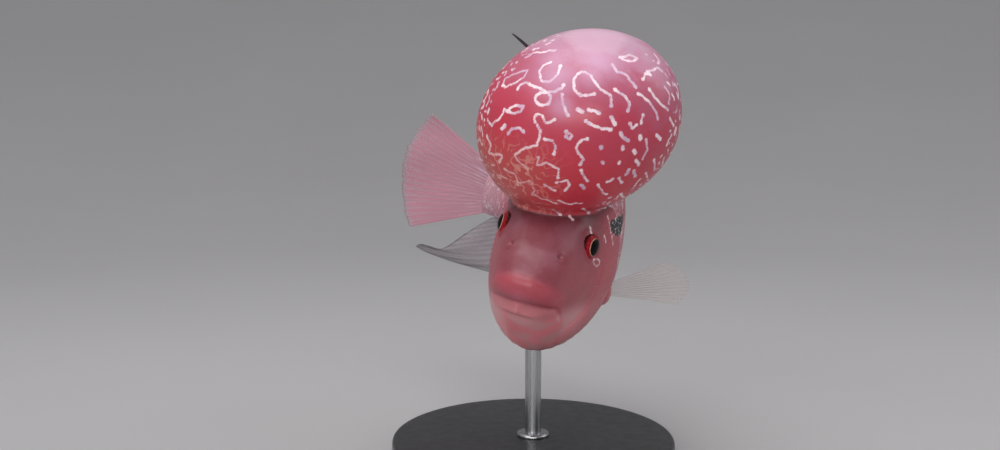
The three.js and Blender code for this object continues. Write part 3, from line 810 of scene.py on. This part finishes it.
def make_fin(name, rays, rows, base, ray, across, bow=None, scallop=None, film=0.11, core=0.34, sway=0.0,
             thread=None):
    """A closed membrane over raised rays; v runs across the rays and u along them.

    base(v) is where a ray starts and ray(v) where it goes; across(v) is the way through the film.
    """
    columns = rays * RAY_COLUMNS + 1
    v = np.linspace(0, 1, columns)[None, :]
    u = np.linspace(0, 1, rows)[:, None]
    wave = np.cos((v * rays - 0.5) * 2 * math.pi) * 0.5 + 0.5
    ridge = wave**3
    cut = (scallop(v) if scallop is not None else 0.003) * (1 - wave) * u
    ragged = (0.005 * np.sin(v * 37) + 0.003 * np.sin(v * 83 + 2)) * u**4
    at = base(v) + ray(v) * (u * (1 - cut - ragged))[..., None]
    if bow is not None:
        at = at + bow(v, u)
    direction = across(v)
    ripple = sway * np.sin(v * 11 + u * 5) * u**2
    at = at + direction * ripple[..., None]
    branch = 1 - 0.55 * smoothstep(u, 0.45, 0.9) * bell(wave, 1, 0.25)
    half = (film + core * ridge * branch * (1 - 0.8 * smoothstep(u, 0.8, 1))) * lerp(1, 0.35, u)
    top, under = at + direction * half[..., None], at - direction * half[..., None]
    points = np.vstack([top.reshape(-1, 3), under.reshape(-1, 3)])
    n = rows * columns
    faces = grid_faces(rows, columns) + [f[::-1] for f in grid_faces(rows, columns, n)]
    for a, b in zip(range(columns - 1), range(1, columns)):
        c, d = (rows - 1) * columns + a, (rows - 1) * columns + b
        faces += [[a, a + n, b + n, b], [c, d, d + n, c + n]]
    for r in range(rows - 1):
        a, b = r * columns, (r + 1) * columns
        c, d = a + columns - 1, b + columns - 1
        faces += [[a, b, b + n, a + n], [c, c + n, d + n, d]]
    obj = make_object(name, points, faces)
    for key, values in (("ray", ridge + 0 * u), ("out", u + 0 * v), ("across", v + 0 * u)):
        store(obj, key, np.tile(values.ravel(), 2))
    store(obj, "thread", np.tile((thread(v, u) if thread else 0 * u * v).ravel(), 2))
    store(obj, "rest", points)
    return obj


def dorsal_fin():
    def reach(v):
        spine = lerp(*DORSAL_SPINES, np.minimum(v / 0.2, 1)) + 6 * v - 12 * smoothstep(v, 0.85, 1)
        soft, thread = bell(v, DORSAL_LOBE, 0.09), bell(v, DORSAL_LOBE, 0.012)
        return spine + DORSAL_SOFT * soft + DORSAL_THREAD * thread

    def base(v):
        y = lerp(*DORSAL_BASE, v)
        return stack(0 * y, y, profile(y, TOP) - ROOT)

    def ray(v):
        lean = lerp(*DORSAL_LEAN, smoothstep(v, 0.3, DORSAL_LOBE))
        return in_plane(lean + 150 * np.maximum(v - DORSAL_LOBE, 0), reach(v) + ROOT - 4)

    def bow(v, u):
        return DORSAL_BOW * ((u * reach(v) / float(reach(DORSAL_LOBE))) ** 4)[..., None]

    return make_fin("dorsal_fin_rays", 27, 44, base, ray, lambda v: SIDEWAYS, bow,
                    lambda v: np.where(v < 0.6, 0.16, 0.01), sway=0.5,
                    thread=lambda v, u: bell(v, DORSAL_LOBE, 0.05) * smoothstep(u, 0.3, 0.6))


def anal_fin():
    def base(v):
        y = lerp(*ANAL_BASE, v)
        return stack(0 * y, y, profile(y, BOTTOM) + ROOT)

    def ray(v):
        front = lerp(22 + 66 * v, ANAL_LONGEST, smoothstep(v, 0.28, ANAL_LOBE))
        rear = lerp(ANAL_LONGEST, ANAL_SHORTEST, (v - ANAL_LOBE) / (1 - ANAL_LOBE))
        lean = lerp(*ANAL_LEAN, smoothstep(v, 0, 0.5)) - 8 * np.maximum(v - ANAL_LOBE, 0)
        return in_plane(lean, np.where(v < ANAL_LOBE, front, rear))

    def bow(v, u):
        return ANAL_BOW * (bell(v, ANAL_LOBE, 0.11) * u**3)[..., None]

    return make_fin("anal_fin_rays", 17, 34, base, ray, lambda v: SIDEWAYS, bow, sway=0.6,
                    thread=lambda v, u: bell(v, 0.4, 0.13) * smoothstep(u, 0.5, 0.95))


def caudal_fin():
    def base(v):
        return stack(0 * v, STANDARD_LENGTH - 5 + 0 * v, lerp(*CAUDAL_BASE, v))

    def ray(v):
        fan = (v - 0.5) * 2
        return in_plane(90 - fan * np.where(fan > 0, *CAUDAL_SPREAD), CAUDAL_LENGTH - 9 * fan * fan)

    return make_fin("caudal_fin_rays", 19, 36, base, ray, lambda v: SIDEWAYS, core=0.26, sway=0.9)


def pectoral_fin(name, side, out, back, rise, tilt):
    """A fan of rays; out, back and rise point it, and tilt leans its blade from upright."""
    skin = float(half_width(*PECTORAL_ROOT))
    along = unit(np.array([side * out, back, rise]))
    away = unit(np.array([-side * back, out, 0]))
    spread = np.array([0, 0, math.cos(math.radians(tilt))]) + away * math.sin(math.radians(tilt))
    spread = unit(spread - along * (spread @ along))
    normal = unit(np.cross(along, spread))
    middle = np.array([side * (skin - 3), *PECTORAL_ROOT])

    def base(v):
        return middle + ((v - 0.5) * PECTORAL_HEIGHT)[..., None] * spread

    def ray(v):
        fan = np.radians((v - 0.5) * PECTORAL_FAN)
        length = PECTORAL_LENGTH - 7 * (2 * v - 1) ** 2
        return (np.cos(fan) * length)[..., None] * along + (np.sin(fan) * length)[..., None] * spread

    return make_fin(name, 13, 22, base, ray, lambda v: normal, film=0.07, core=0.2, sway=0.7)


def pelvic_fin(name, side):
    belly = float(profile(PELVIC_BACK, BOTTOM))

    def base(v):
        return stack(side * (PELVIC_OUT + v * PELVIC_WIDTH), PELVIC_BACK + v * PELVIC_WIDTH, belly + 5 + v)

    def ray(v):
        length = lerp(*PELVIC_LENGTHS, v**0.7)
        return stack(side * (0.1 + 0.22 * v), 0.93 + 0 * v, -0.28 + 0.14 * v) * length[..., None]

    return make_fin(name, 6, 22, base, ray, lambda v: np.array([-side * 0.3, 0.25, 0.9]), sway=0.4)


# Eyes
PUPIL = 4.3


def make_eye(name, side):
    """An eyeball that looks out and a little forward, with a pupil that stands a little proud."""
    polar = np.linspace(0.0, math.pi, 60)
    turn = circle(64)
    r = EYE_RADIUS * np.sin(polar)
    bulge = 0.4 * (1 - smoothstep(r, 4.0, 5.0)) * (polar < 1.5)
    reach = EYE_RADIUS * np.cos(polar) + bulge
    x = np.repeat(side * reach[:, None], 64, 1)
    ball, faces = ringed(stack(x, r[:, None] * np.cos(turn)[None, :], r[:, None] * np.sin(turn)[None, :]))
    if side > 0:
        faces = [f[::-1] for f in faces]
    look = np.array(Matrix.Rotation(math.radians(-side * EYE_FORWARD), 3, "Z")
                    @ Matrix.Rotation(math.radians(-side * EYE_UP), 3, "Y"))
    centre = np.array([side * (EYE_CENTRE[0] + EYE_OUT), *EYE_CENTRE[1:]])
    obj = make_object(name, ball @ look.T + centre, faces)
    store(obj, "iris", np.hypot(ball[:, 1], ball[:, 2]) + 9 * (side * ball[:, 0] < 0))
    store(obj, "rest", ball)
    return obj


# Materials
def linear(code):
    """A colour code such as c8454f as linear red, green, blue and 1."""
    parts = [int(code[i:i + 2], 16) / 255 for i in (0, 2, 4)]
    return (*[c / 12.92 if c < 0.04045 else ((c + 0.055) / 1.055) ** 2.4 for c in parts], 1)


class Workbench:
    """Lays nodes in one tree, so that a finish reads as a short recipe. The recipes call it b."""

    def __init__(self, tree):
        self.tree = tree

    def put(self, socket, value):
        if isinstance(value, bpy.types.NodeSocket):
            self.tree.links.new(value, socket)
        else:
            socket.default_value = value

    def node(self, kind, settings=(), **inputs):
        made = self.tree.nodes.new("ShaderNode" + kind)
        for key, value in dict(settings).items():
            setattr(made, key, value)
        for key, value in inputs.items():
            self.put(made.inputs[int(key[1:])] if key[0] == "_" else made.inputs[key], value)
        return made

    def read(self, name, vector=False):
        made = self.node("Attribute", {"attribute_name": name})
        return made.outputs["Vector" if vector else "Fac"]

    def math(self, operation, a, b=0.0):
        return self.node("Math", {"operation": operation}, _0=a, _1=b).outputs[0]

    def plus(self, a, b):
        return self.math("ADD", a, b)

    def times(self, a, b):
        return self.math("MULTIPLY", a, b)

    def mix(self, a, b, factor):
        made = self.node("Mix", {"data_type": "RGBA", "blend_type": "MIX"})
        self.put(made.inputs[0], factor)
        self.put(made.inputs[6], linear(a) if isinstance(a, str) else a)
        self.put(made.inputs[7], linear(b) if isinstance(b, str) else b)
        return made.outputs[2]

    def tint(self, base, colour, mask, amount):
        return self.mix(base, colour, self.times(mask, amount))

    def washes(self, base, *washes):
        """Lays one colour after another over the base, each where the mesh's attribute says."""
        for colour, attribute, amount in washes:
            base = self.tint(base, colour, self.read(attribute), amount)
        return base

    def step(self, value, low, high, to_low=0.0, to_high=1.0):
        made = self.node("MapRange", {"interpolation_type": "SMOOTHSTEP"}, _0=value, _1=low, _2=high,
                         _3=to_low, _4=to_high)
        return made.outputs[0]

    def noise(self, vector, scale, detail=2.0, rough=0.5):
        made = self.node("TexNoise", Vector=vector, Scale=scale, Detail=detail, Roughness=rough)
        return made.outputs[0]

    def waver(self, vector, scale, detail, rough, amount):
        """Noise that swings to either side of 0."""
        return self.times(self.math("SUBTRACT", self.noise(vector, scale, detail, rough), 0.5), amount)

    def cells(self, vector, scale):
        return self.node("TexVoronoi", {"feature": "F1"}, Vector=vector, Scale=scale).outputs[0]


def group(name, inputs, outputs, build):
    tree = bpy.data.node_groups.new(name, "ShaderNodeTree")
    for label, kind, value in inputs:
        socket = tree.interface.new_socket(label, in_out="INPUT", socket_type="NodeSocket" + kind)
        if value is not None:
            socket.default_value = value
    for label in outputs:
        tree.interface.new_socket(label, in_out="OUTPUT", socket_type="NodeSocketFloat")
    bench = Workbench(tree)
    source, sink = tree.nodes.new("NodeGroupInput"), tree.nodes.new("NodeGroupOutput")
    for label, socket in build(bench, source.outputs).items():
        tree.links.new(socket, sink.inputs[label])
    return tree


def build_skin_grain(b, given):
    """Broad mottling, fine pores and a wet sheen that comes and goes."""
    fine = b.noise(given["Place"], 0.9, 4, 0.65)
    mottle = b.plus(b.times(b.noise(given["Place"], 0.045, 3, 0.55), 0.6), b.times(fine, 0.4))
    height = b.plus(b.times(fine, 0.7), b.times(b.cells(given["Place"], 1.1), 0.3))
    return {"Mottle": mottle, "Height": height, "Sheen": b.step(fine, 0.3, 0.7, 0.36, 0.5)}


SKIN_GRAIN = group("fish skin grain", [("Place", "Vector", None)], ["Mottle", "Height", "Sheen"],
                   build_skin_grain)


def build_flower_mark(b, given):
    """A black mark with a ragged edge, and pearl specks round it."""
    ragged = b.waver(given["Place"], 0.33, 4, 0.6, 1.3)
    specks = b.step(b.cells(given["Place"], 0.42), 0.3, 0.2)
    return {"Black": b.step(b.plus(given["Depth"], ragged), 0.45, 0.62),
            "Pearl": b.times(b.step(given["Depth"], 0.1, 0.4), specks)}


FLOWER_MARK = group("flower mark", [("Place", "Vector", None), ("Depth", "Float", 0.0)],
                    ["Black", "Pearl"], build_flower_mark)


def build_fin_film(b, given):
    """Streaks along a fin, finer rays between the raised ones, the rays' joints and the margin."""
    ray, out, across = given["Ray"], given["Out"], given["Across"]
    along = b.node("CombineXYZ", X=b.times(across, 34.0), Y=b.times(out, 3.0))
    streak = b.noise(along.outputs[0], 1.0, 3, 0.6)
    fine = b.step(b.math("SINE", b.times(across, given["Fine rays"])), 0.2, 1.0)
    joints = b.step(b.math("SINE", b.times(out, 150.0)), 0.2, 0.9)
    cover = b.plus(b.plus(b.times(ray, 0.35), b.times(streak, 0.3)), b.times(fine, 0.15))
    return {"Streak": streak, "Joints": b.times(joints, ray), "Margin": b.step(out, 0.93, 0.985),
            "Cover": cover, "Lines": b.math("MAXIMUM", ray, b.times(fine, b.step(out, 0.15, 0.6)))}


FIN_FILM = group("fin film", [("Out", "Float", 0.0), ("Ray", "Float", 0.0),
                              ("Across", "Float", 0.0), ("Fine rays", "Float", 300.0)],
                 ["Streak", "Joints", "Margin", "Cover", "Lines"], build_fin_film)


def finish_material(name, build, **constants):
    material = bpy.data.materials.new(name)
    material.use_nodes = True
    tree = material.node_tree
    tree.nodes.clear()
    bench = Workbench(tree)
    shader = bench.node("BsdfPrincipled")
    for key, value in constants.items():
        shader.inputs[key.replace("_", " ")].default_value = value
    for key, socket in build(bench).items():
        if key == "Height":
            strength, distance, height = socket
            bump = bench.node("Bump", Strength=strength, Distance=distance, Height=height)
            socket, key = bump.outputs[0], "Normal"
        tree.links.new(socket, shader.inputs[key])
    tree.links.new(shader.outputs[0], bench.node("OutputMaterial").inputs[0])
    return material


def placed_group(b, tree, **inputs):
    made = b.tree.nodes.new("ShaderNodeGroup")
    made.node_tree = tree
    for key, value in inputs.items():
        b.put(made.inputs[key], value)
    return made.outputs


def flower_marked(b, colour, place):
    marks = placed_group(b, FLOWER_MARK, Place=place, Depth=b.read("dark"))
    colour = b.mix(colour, "1b181b", marks["Black"])
    return b.tint(colour, "e2d6de", marks["Pearl"], 0.75)


def face_colour(b, place, mottle):
    """A mauve face with red cheeks, a pink jaw and throat, and the flank's skin under the scales; painted
    shade under the hump's overhang and in the mouth and gill grooves, and painted light on the chin and
    belly.
    """
    face = b.mix("6f333d", "7f4c58", b.step(b.noise(place, 0.05, 3, 0.6), 0.38, 0.62))
    face = b.tint(face, "884652", b.step(mottle, 0.62, 0.38), 0.3)
    # the belly wash and the jaw colour on the chin are the fish's paler pink underside, and partly painted
    # light: lighter to stand in for light that the shaded underside misses
    face = b.washes(face, ("a3444e", "cheek", 0.75), ("d07c84", "belly", 0.85))
    jaw = b.mix("ec8b93", "d89ca0", b.step(b.noise(place, 0.07, 2), 0.42, 0.6))
    face = b.washes(face, (jaw, "chin_pink_and_painted_light", 0.9), ("b8505c", "speckled", 0.8))
    specks = b.step(b.noise(place, 0.7, 3, 0.7), 0.63, 0.72)
    face = b.tint(face, "d9a6ac", specks, b.read("speckled"))
    lips = b.mix("cb777d", "ad4854", b.read("upper"))
    # the dark brow wash is painted shade in the crease under the hump's overhang
    face = b.washes(face, ("541e25", "brow_shade", 0.9), ("a03440", "eye_ring", 0.6), (lips, "lip", 0.7),
                    # the gill wash is painted shade in the groove along the gill cover's edge
                    # the mouth wash is painted shade, a darker line in the crease between the lips
                    ("8a3c45", "mouth", 0.4), ("6a2d35", "gill", 0.55), ("b4626c", "flank", 0.8),
                    ("b98a96", "tail_root", 0.9))
    return flower_marked(b, face, place)


def hump_colour(b, place, line):
    """Red below, pink above and a pale lilac-pink crown, under the worm marks; the paling towards the top
    and the pale cap are partly the hump's own colour and partly painted light from above.
    """
    wander = b.waver(place, 0.07, 4, 0.6, 0.75)
    # paler towards the top: partly the hump's own crown colour, partly painted light from above
    crown = b.plus(b.read("crown"), wander)
    hump = b.mix("c03443", "b63d52", b.step(crown, -0.6, 0.1))
    for colour, low, high in (("af556d", 0.1, 0.5), ("b57790", 0.5, 0.72), ("b38ba0", 0.72, 0.95)):
        hump = b.mix(hump, colour, b.step(crown, low, high))
    hump = b.washes(hump, ("b8544f", "net", 0.55), ("c392b0", "haze", 0.7))
    # the pale cap is partly the hump's own colour and partly painted light from above
    cap = b.step(b.plus(b.read("cap"), b.times(wander, 0.8)), 0.36, 0.62)
    hump = b.washes(b.tint(hump, "c29aae", cap, 0.75), ("b4596a", "back", 0.35))
    # a net of faint worms: thin bands where a smooth noise passes its middle value
    worm = b.math("ABSOLUTE", b.math("SUBTRACT", b.noise(place, 0.2, 1.0, 0.4), 0.5))
    gaps = b.step(b.noise(place, 0.16, 2), 0.38, 0.5)
    net = b.times(b.times(b.step(worm, 0.055, 0.02), b.read("net")), gaps)
    hump = b.tint(hump, "d58f84", net, 0.75)
    pearl = b.mix("f2dde4", "cfb0c6", b.step(b.noise(place, 0.12, 2), 0.42, 0.62))
    pearl = b.washes(pearl, ("d8948c", "net", 0.75))
    return b.mix(hump, pearl, b.times(line, b.step(crown, 1.0, 0.7, 0.25, 0.92)))


def skin_finish(b):
    place = b.read("rest", vector=True)
    grain = placed_group(b, SKIN_GRAIN, Place=place)
    frayed = b.waver(place, 0.9, 4, 0.65, 1.3)
    line = b.step(b.plus(b.read("mark"), frayed), 0.34, -0.2)
    face = b.tint(face_colour(b, place, grain["Mottle"]), "e9d3da", line, 0.8)
    colour = b.mix(face, hump_colour(b, place, line), b.read("hump"))
    depth = b.plus(grain["Height"], b.times(line, 0.2))
    return {"Base Color": colour, "Roughness": grain["Sheen"], "Height": (0.3, 0.0004, depth)}


def scale_finish(b):
    place = b.read("rest", vector=True)
    grain = placed_group(b, SKIN_GRAIN, Place=place)
    edge = b.read("edge")
    colour = b.mix("a8505c", "bb6672", b.step(grain["Mottle"], 0.4, 0.6))
    colour = b.washes(colour, ("cf9094", "belly", 0.6), ("963f4e", "nape", 0.5),
                      ("b98a96", "tail_root", 0.85))
    colour = b.tint(colour, "dcaab4", b.step(edge, 0.3, 0.9), 0.4)
    broken = b.step(b.noise(place, 0.5, 3, 0.7), 0.46, 0.58)
    lucky = b.times(b.step(b.read("luck"), 0.3, 1.0), b.step(edge, 0.7, 0.2))
    colour = b.tint(colour, "eadfe6", b.times(lucky, broken), 0.75)
    return {"Base Color": flower_marked(b, colour, place), "Roughness": grain["Sheen"],
            "Height": (0.3, 0.0003, grain["Height"])}


def fin_finish(film, ray, margin, streaks, cover_low, cover_high, fine, contrast=0.65):
    def build(b):
        out = b.read("out")
        parts = placed_group(b, FIN_FILM, **{"Out": out, "Ray": b.read("ray"),
                                             "Across": b.read("across"), "Fine rays": fine})
        colour = b.tint(film, ray, parts["Lines"], contrast)
        near_root = b.times(b.step(parts["Streak"], 0.5, 0.64), b.step(out, 0.55, 0.1))
        upper = b.step(b.read("across"), 0.35, 0.8, 0.25, 0.9)
        colour = b.tint(colour, streaks, near_root, upper)
        colour = b.tint(colour, margin, parts["Margin"], 0.8)
        colour = b.tint(colour, margin, parts["Joints"], 0.12)
        colour = b.washes(colour, ("2b262b", "thread", 0.85))
        cover = b.step(parts["Cover"], 0.05, 0.6, cover_low, cover_high)
        thin = b.step(out, 0.55, 1.0, 1.0, 0.8)
        return {"Base Color": colour, "Alpha": b.times(cover, thin), "Height": (0.35, 0.0003, parts["Lines"])}
    return build


def eye_finish(b):
    """A red iris with a thin pale ring round the black pupil."""
    place = b.read("rest", vector=True)
    r = b.plus(b.read("iris"), b.waver(place, 0.9, 3, 0.5, 0.25))
    colour = b.mix("6e0e14", "a8242c", b.step(b.noise(place, 1.6, 4, 0.7), 0.4, 0.6))
    colour = b.mix(colour, "2a0a0e", b.step(r, 5.6, 6.6))
    colour = b.mix(colour, "c08e7c", b.step(r, PUPIL + 0.32, PUPIL + 0.18))
    return {"Base Color": b.mix(colour, "0a0707", b.step(r, PUPIL + 0.08, PUPIL - 0.08))}


def base_finish(b):
    place = b.node("TexCoord").outputs["Object"]
    dust = b.noise(place, 45.0, 5, 0.6)
    rough = b.step(b.noise(place, 160.0, 3), 0.3, 0.7, 0.34, 0.42)
    return {"Base Color": b.mix("151517", "1e1e21", b.step(dust, 0.35, 0.75)), "Roughness": rough,
            "Height": (0.03, 0.0001, dust)}


def rod_finish(b):
    place = b.node("TexCoord").outputs["Object"]
    stretched = b.node("Mapping", Vector=place, Scale=(900.0, 900.0, 12.0)).outputs[0]
    brushed = b.noise(stretched, 1.0, 3)
    return {"Base Color": b.mix("9a9b9d", "c4c5c7", brushed),
            "Roughness": b.step(brushed, 0.2, 0.8, 0.2, 0.38), "Height": (0.04, 0.0001, brushed)}


def floor_finish(b):
    place = b.node("TexCoord").outputs["Object"]
    return {"Base Color": b.mix("a09e9f", "a6a4a5", b.noise(place, 3.0, 4))}


def fin_material(name, *looks):
    return finish_material(name, fin_finish(*looks), Roughness=0.4, IOR=1.36)


FLESH = {"Subsurface_Weight": 0.18, "Subsurface_Radius": (1.0, 0.35, 0.3), "Subsurface_Scale": 0.004,
         "Coat_Weight": 0.25, "Coat_Roughness": 0.25, "IOR": 1.36}
SKIN = finish_material("hump and face skin", skin_finish, **FLESH)
SCALE = finish_material("pearled scales", scale_finish, **FLESH)
TAIL = fin_material("tail fin film", "bf8c9c", "c07c8e", "a5969d", "dccae0", 0.5, 0.86, 360.0, 0.8)
ANAL = fin_material("anal fin film", "9a8e95", "7d757b", "3a373d", "b39daa", 0.4, 0.72, 320.0, 0.4)
DORSAL = fin_material("dorsal fin film", "a1606c", "8a4652", "453c43", "cf9dac", 0.75, 0.97, 340.0)
PALE = fin_material("paired fin film", "b9a9a8", "b0948f", "ada3a2", "c4b2b0", 0.05, 0.32, 250.0)
EYE = finish_material("red eye", eye_finish, Roughness=0.3, IOR=1.15, Coat_Weight=0.3,
                      Coat_Roughness=0.06, Coat_IOR=1.15)
BASE = finish_material("satin black base", base_finish, Coat_Weight=0.2, Coat_Roughness=0.3)
ROD = finish_material("brushed rod", rod_finish, Metallic=1.0)
FLOOR = finish_material("pale floor", floor_finish, Roughness=0.85)


# Assembly
def dress(obj, material, slot, *nodes):
    """Gives a piece its material, hangs it under the root and hides the solids that it stands for."""
    obj.data.materials.clear()
    obj.data.materials.append(material)
    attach(obj, "root")
    if nodes:
        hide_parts(*nodes)
    return obj


skin_points, skin_faces = make_skin()
skin = make_object("flowerhorn_skin", skin_points, skin_faces)
skin_marks(skin, skin_points, placed(skin_points), skin_faces)
dress(skin, SKIN, "hump_skin", "head", "lower_jaw", "nuchal_hump", "trunk", "tail_peduncle")
for plates in make_scales():
    dress(plates, SCALE, "scaled_body")
dress(dorsal_fin(), DORSAL, "fin", "dorsal_fin")
dress(anal_fin(), ANAL, "fin", "anal_fin")
dress(caudal_fin(), TAIL, "fin", "caudal_fin")
dress(pectoral_fin("pectoral_rays_left", 1, 0.96, 0.2, 0.34, 74), PALE, "clear_fin", "pectoral_fin_left")
dress(pectoral_fin("pectoral_rays_right", -1, 0.06, 0.99, 0.1, 0), PALE, "clear_fin", "pectoral_fin_right")
for word, side in (("left", 1), ("right", -1)):
    dress(pelvic_fin("pelvic_rays_" + word, side), DORSAL, "fin", "pelvic_fin_" + word)
    dress(make_eye("eyeball_" + word, side), EYE, "eye", "eye_" + word)


def turned_disc(name, profile_points, sides=128):
    """A round piece from the outline of its edge: distances from the middle, and heights."""
    turn = circle(sides)
    r, z = np.array(profile_points, float).T
    rings = stack(r[:, None] * np.cos(turn), r[:, None] * np.sin(turn), z[:, None] + 0 * turn)
    points, faces = ringed(rings)
    return make_object(name, points * MM, faces, place=False)


BASE_EDGE = 2
COLLAR_RADIUS, COLLAR_HEIGHT = 9, 1.8
round_edge = [(BASE_RADIUS - BASE_EDGE + BASE_EDGE * math.sin(a),
               BASE_THICKNESS - BASE_EDGE + BASE_EDGE * math.cos(a)) for a in np.linspace(math.pi / 2, 0, 7)]
disc = turned_disc("stand_disc", [(BASE_RADIUS - 3, 0), (BASE_RADIUS - 1.2, 0.3), (BASE_RADIUS, 1.4),
                                  *round_edge, (BASE_RADIUS - 6, BASE_THICKNESS), (0.5, BASE_THICKNESS)])
dress(disc, BASE, "stand_black", "stand_base")
COLLAR_TOP = BASE_THICKNESS + COLLAR_HEIGHT
collar_edge = [(COLLAR_RADIUS, BASE_THICKNESS - 0.2), (COLLAR_RADIUS, COLLAR_TOP - 0.6),
               (COLLAR_RADIUS - 0.6, COLLAR_TOP), (4.4, COLLAR_TOP)]
collar = turned_disc("stand_collar", collar_edge, 48)
dress(collar, ROD, "stand_metal")
rod = NODES["stand_rod"]
rod.data.materials.clear()
rod.data.materials.append(ROD)
rod.data.polygons.foreach_set("use_smooth", [True] * len(rod.data.polygons))


# Studio
FLOOR_FLAT, FLOOR_CURVE = 0.9, 2.1  # in metres: where the floor starts to rise, and the curve's radius


def sweep():
    """A round pale floor whose rim curves up into a wall, so that every side has the same ground."""
    path = [(0.01, 0), (0.5, 0), (FLOOR_FLAT, 0)]
    path += [(FLOOR_FLAT + FLOOR_CURVE * math.sin(a), FLOOR_CURVE - FLOOR_CURVE * math.cos(a))
             for a in np.linspace(0.05, math.pi / 2, 30)]
    turn = circle(96)
    r, z = np.array(path).T
    points = stack(r[:, None] * np.cos(turn), r[:, None] * np.sin(turn), z[:, None] - 0.0003 + 0 * turn)
    obj = make_object("floor", points.reshape(-1, 3), grid_faces(len(path), 96, close=True), place=False)
    obj.data.materials.append(FLOOR)
    obj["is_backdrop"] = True


def softbox(name, place, size, power, spread):
    """An area light; a spread under 180 degrees keeps it off the floor beside it."""
    data = bpy.data.lights.new(name, "AREA")
    data.shape, data.size, data.size_y, data.energy = "RECTANGLE", size[0], size[1], power
    data.spread = math.radians(spread)
    lamp = bpy.data.objects.new(name, data)
    lamp.location = place
    lamp.rotation_euler = (Vector(TARGET) - Vector(place)).to_track_quat("-Z", "Y").to_euler()
    bpy.context.scene.collection.objects.link(lamp)


sweep()
TARGET = (0.0, -0.02, 0.15)
LIGHTS = [  # name, place, size, power in watts, spread in degrees
    ("overhead", (-0.15, -0.35, 1.5), (1.3, 1.1), 14.5, 180),
    ("front left", (-1.1, -1.3, 0.9), (1.0, 1.0), 7, 180),
    ("low front", (-0.1, -1.5, 0.36), (1.1, 0.3), 1.0, 60),
    ("right", (1.4, 0.1, 0.9), (0.9, 0.9), 4, 180),
]
for light in LIGHTS:
    softbox(*light)
world = bpy.data.worlds.new("studio air")
world.use_nodes = True
world.node_tree.nodes["Background"].inputs[0].default_value = (0.82, 0.83, 0.85, 1)
world.node_tree.nodes["Background"].inputs[1].default_value = 0.75
bpy.context.scene.world = world
bpy.context.scene.view_settings.view_transform = "Standard"

camera_data = bpy.data.cameras.new("camera")
camera_data.lens, camera_data.sensor_width = 36, 36
camera = bpy.data.objects.new("camera", camera_data)
camera.location = camera_place()
camera.rotation_euler = (math.radians(90 - CAMERA_TILT), 0, 0)
bpy.context.scene.collection.objects.link(camera)
bpy.context.scene.camera = camera

boxes = {"cad": cad_box, "visual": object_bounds()}
{key: [list(corner) for corner in box] for key, box in boxes.items()}
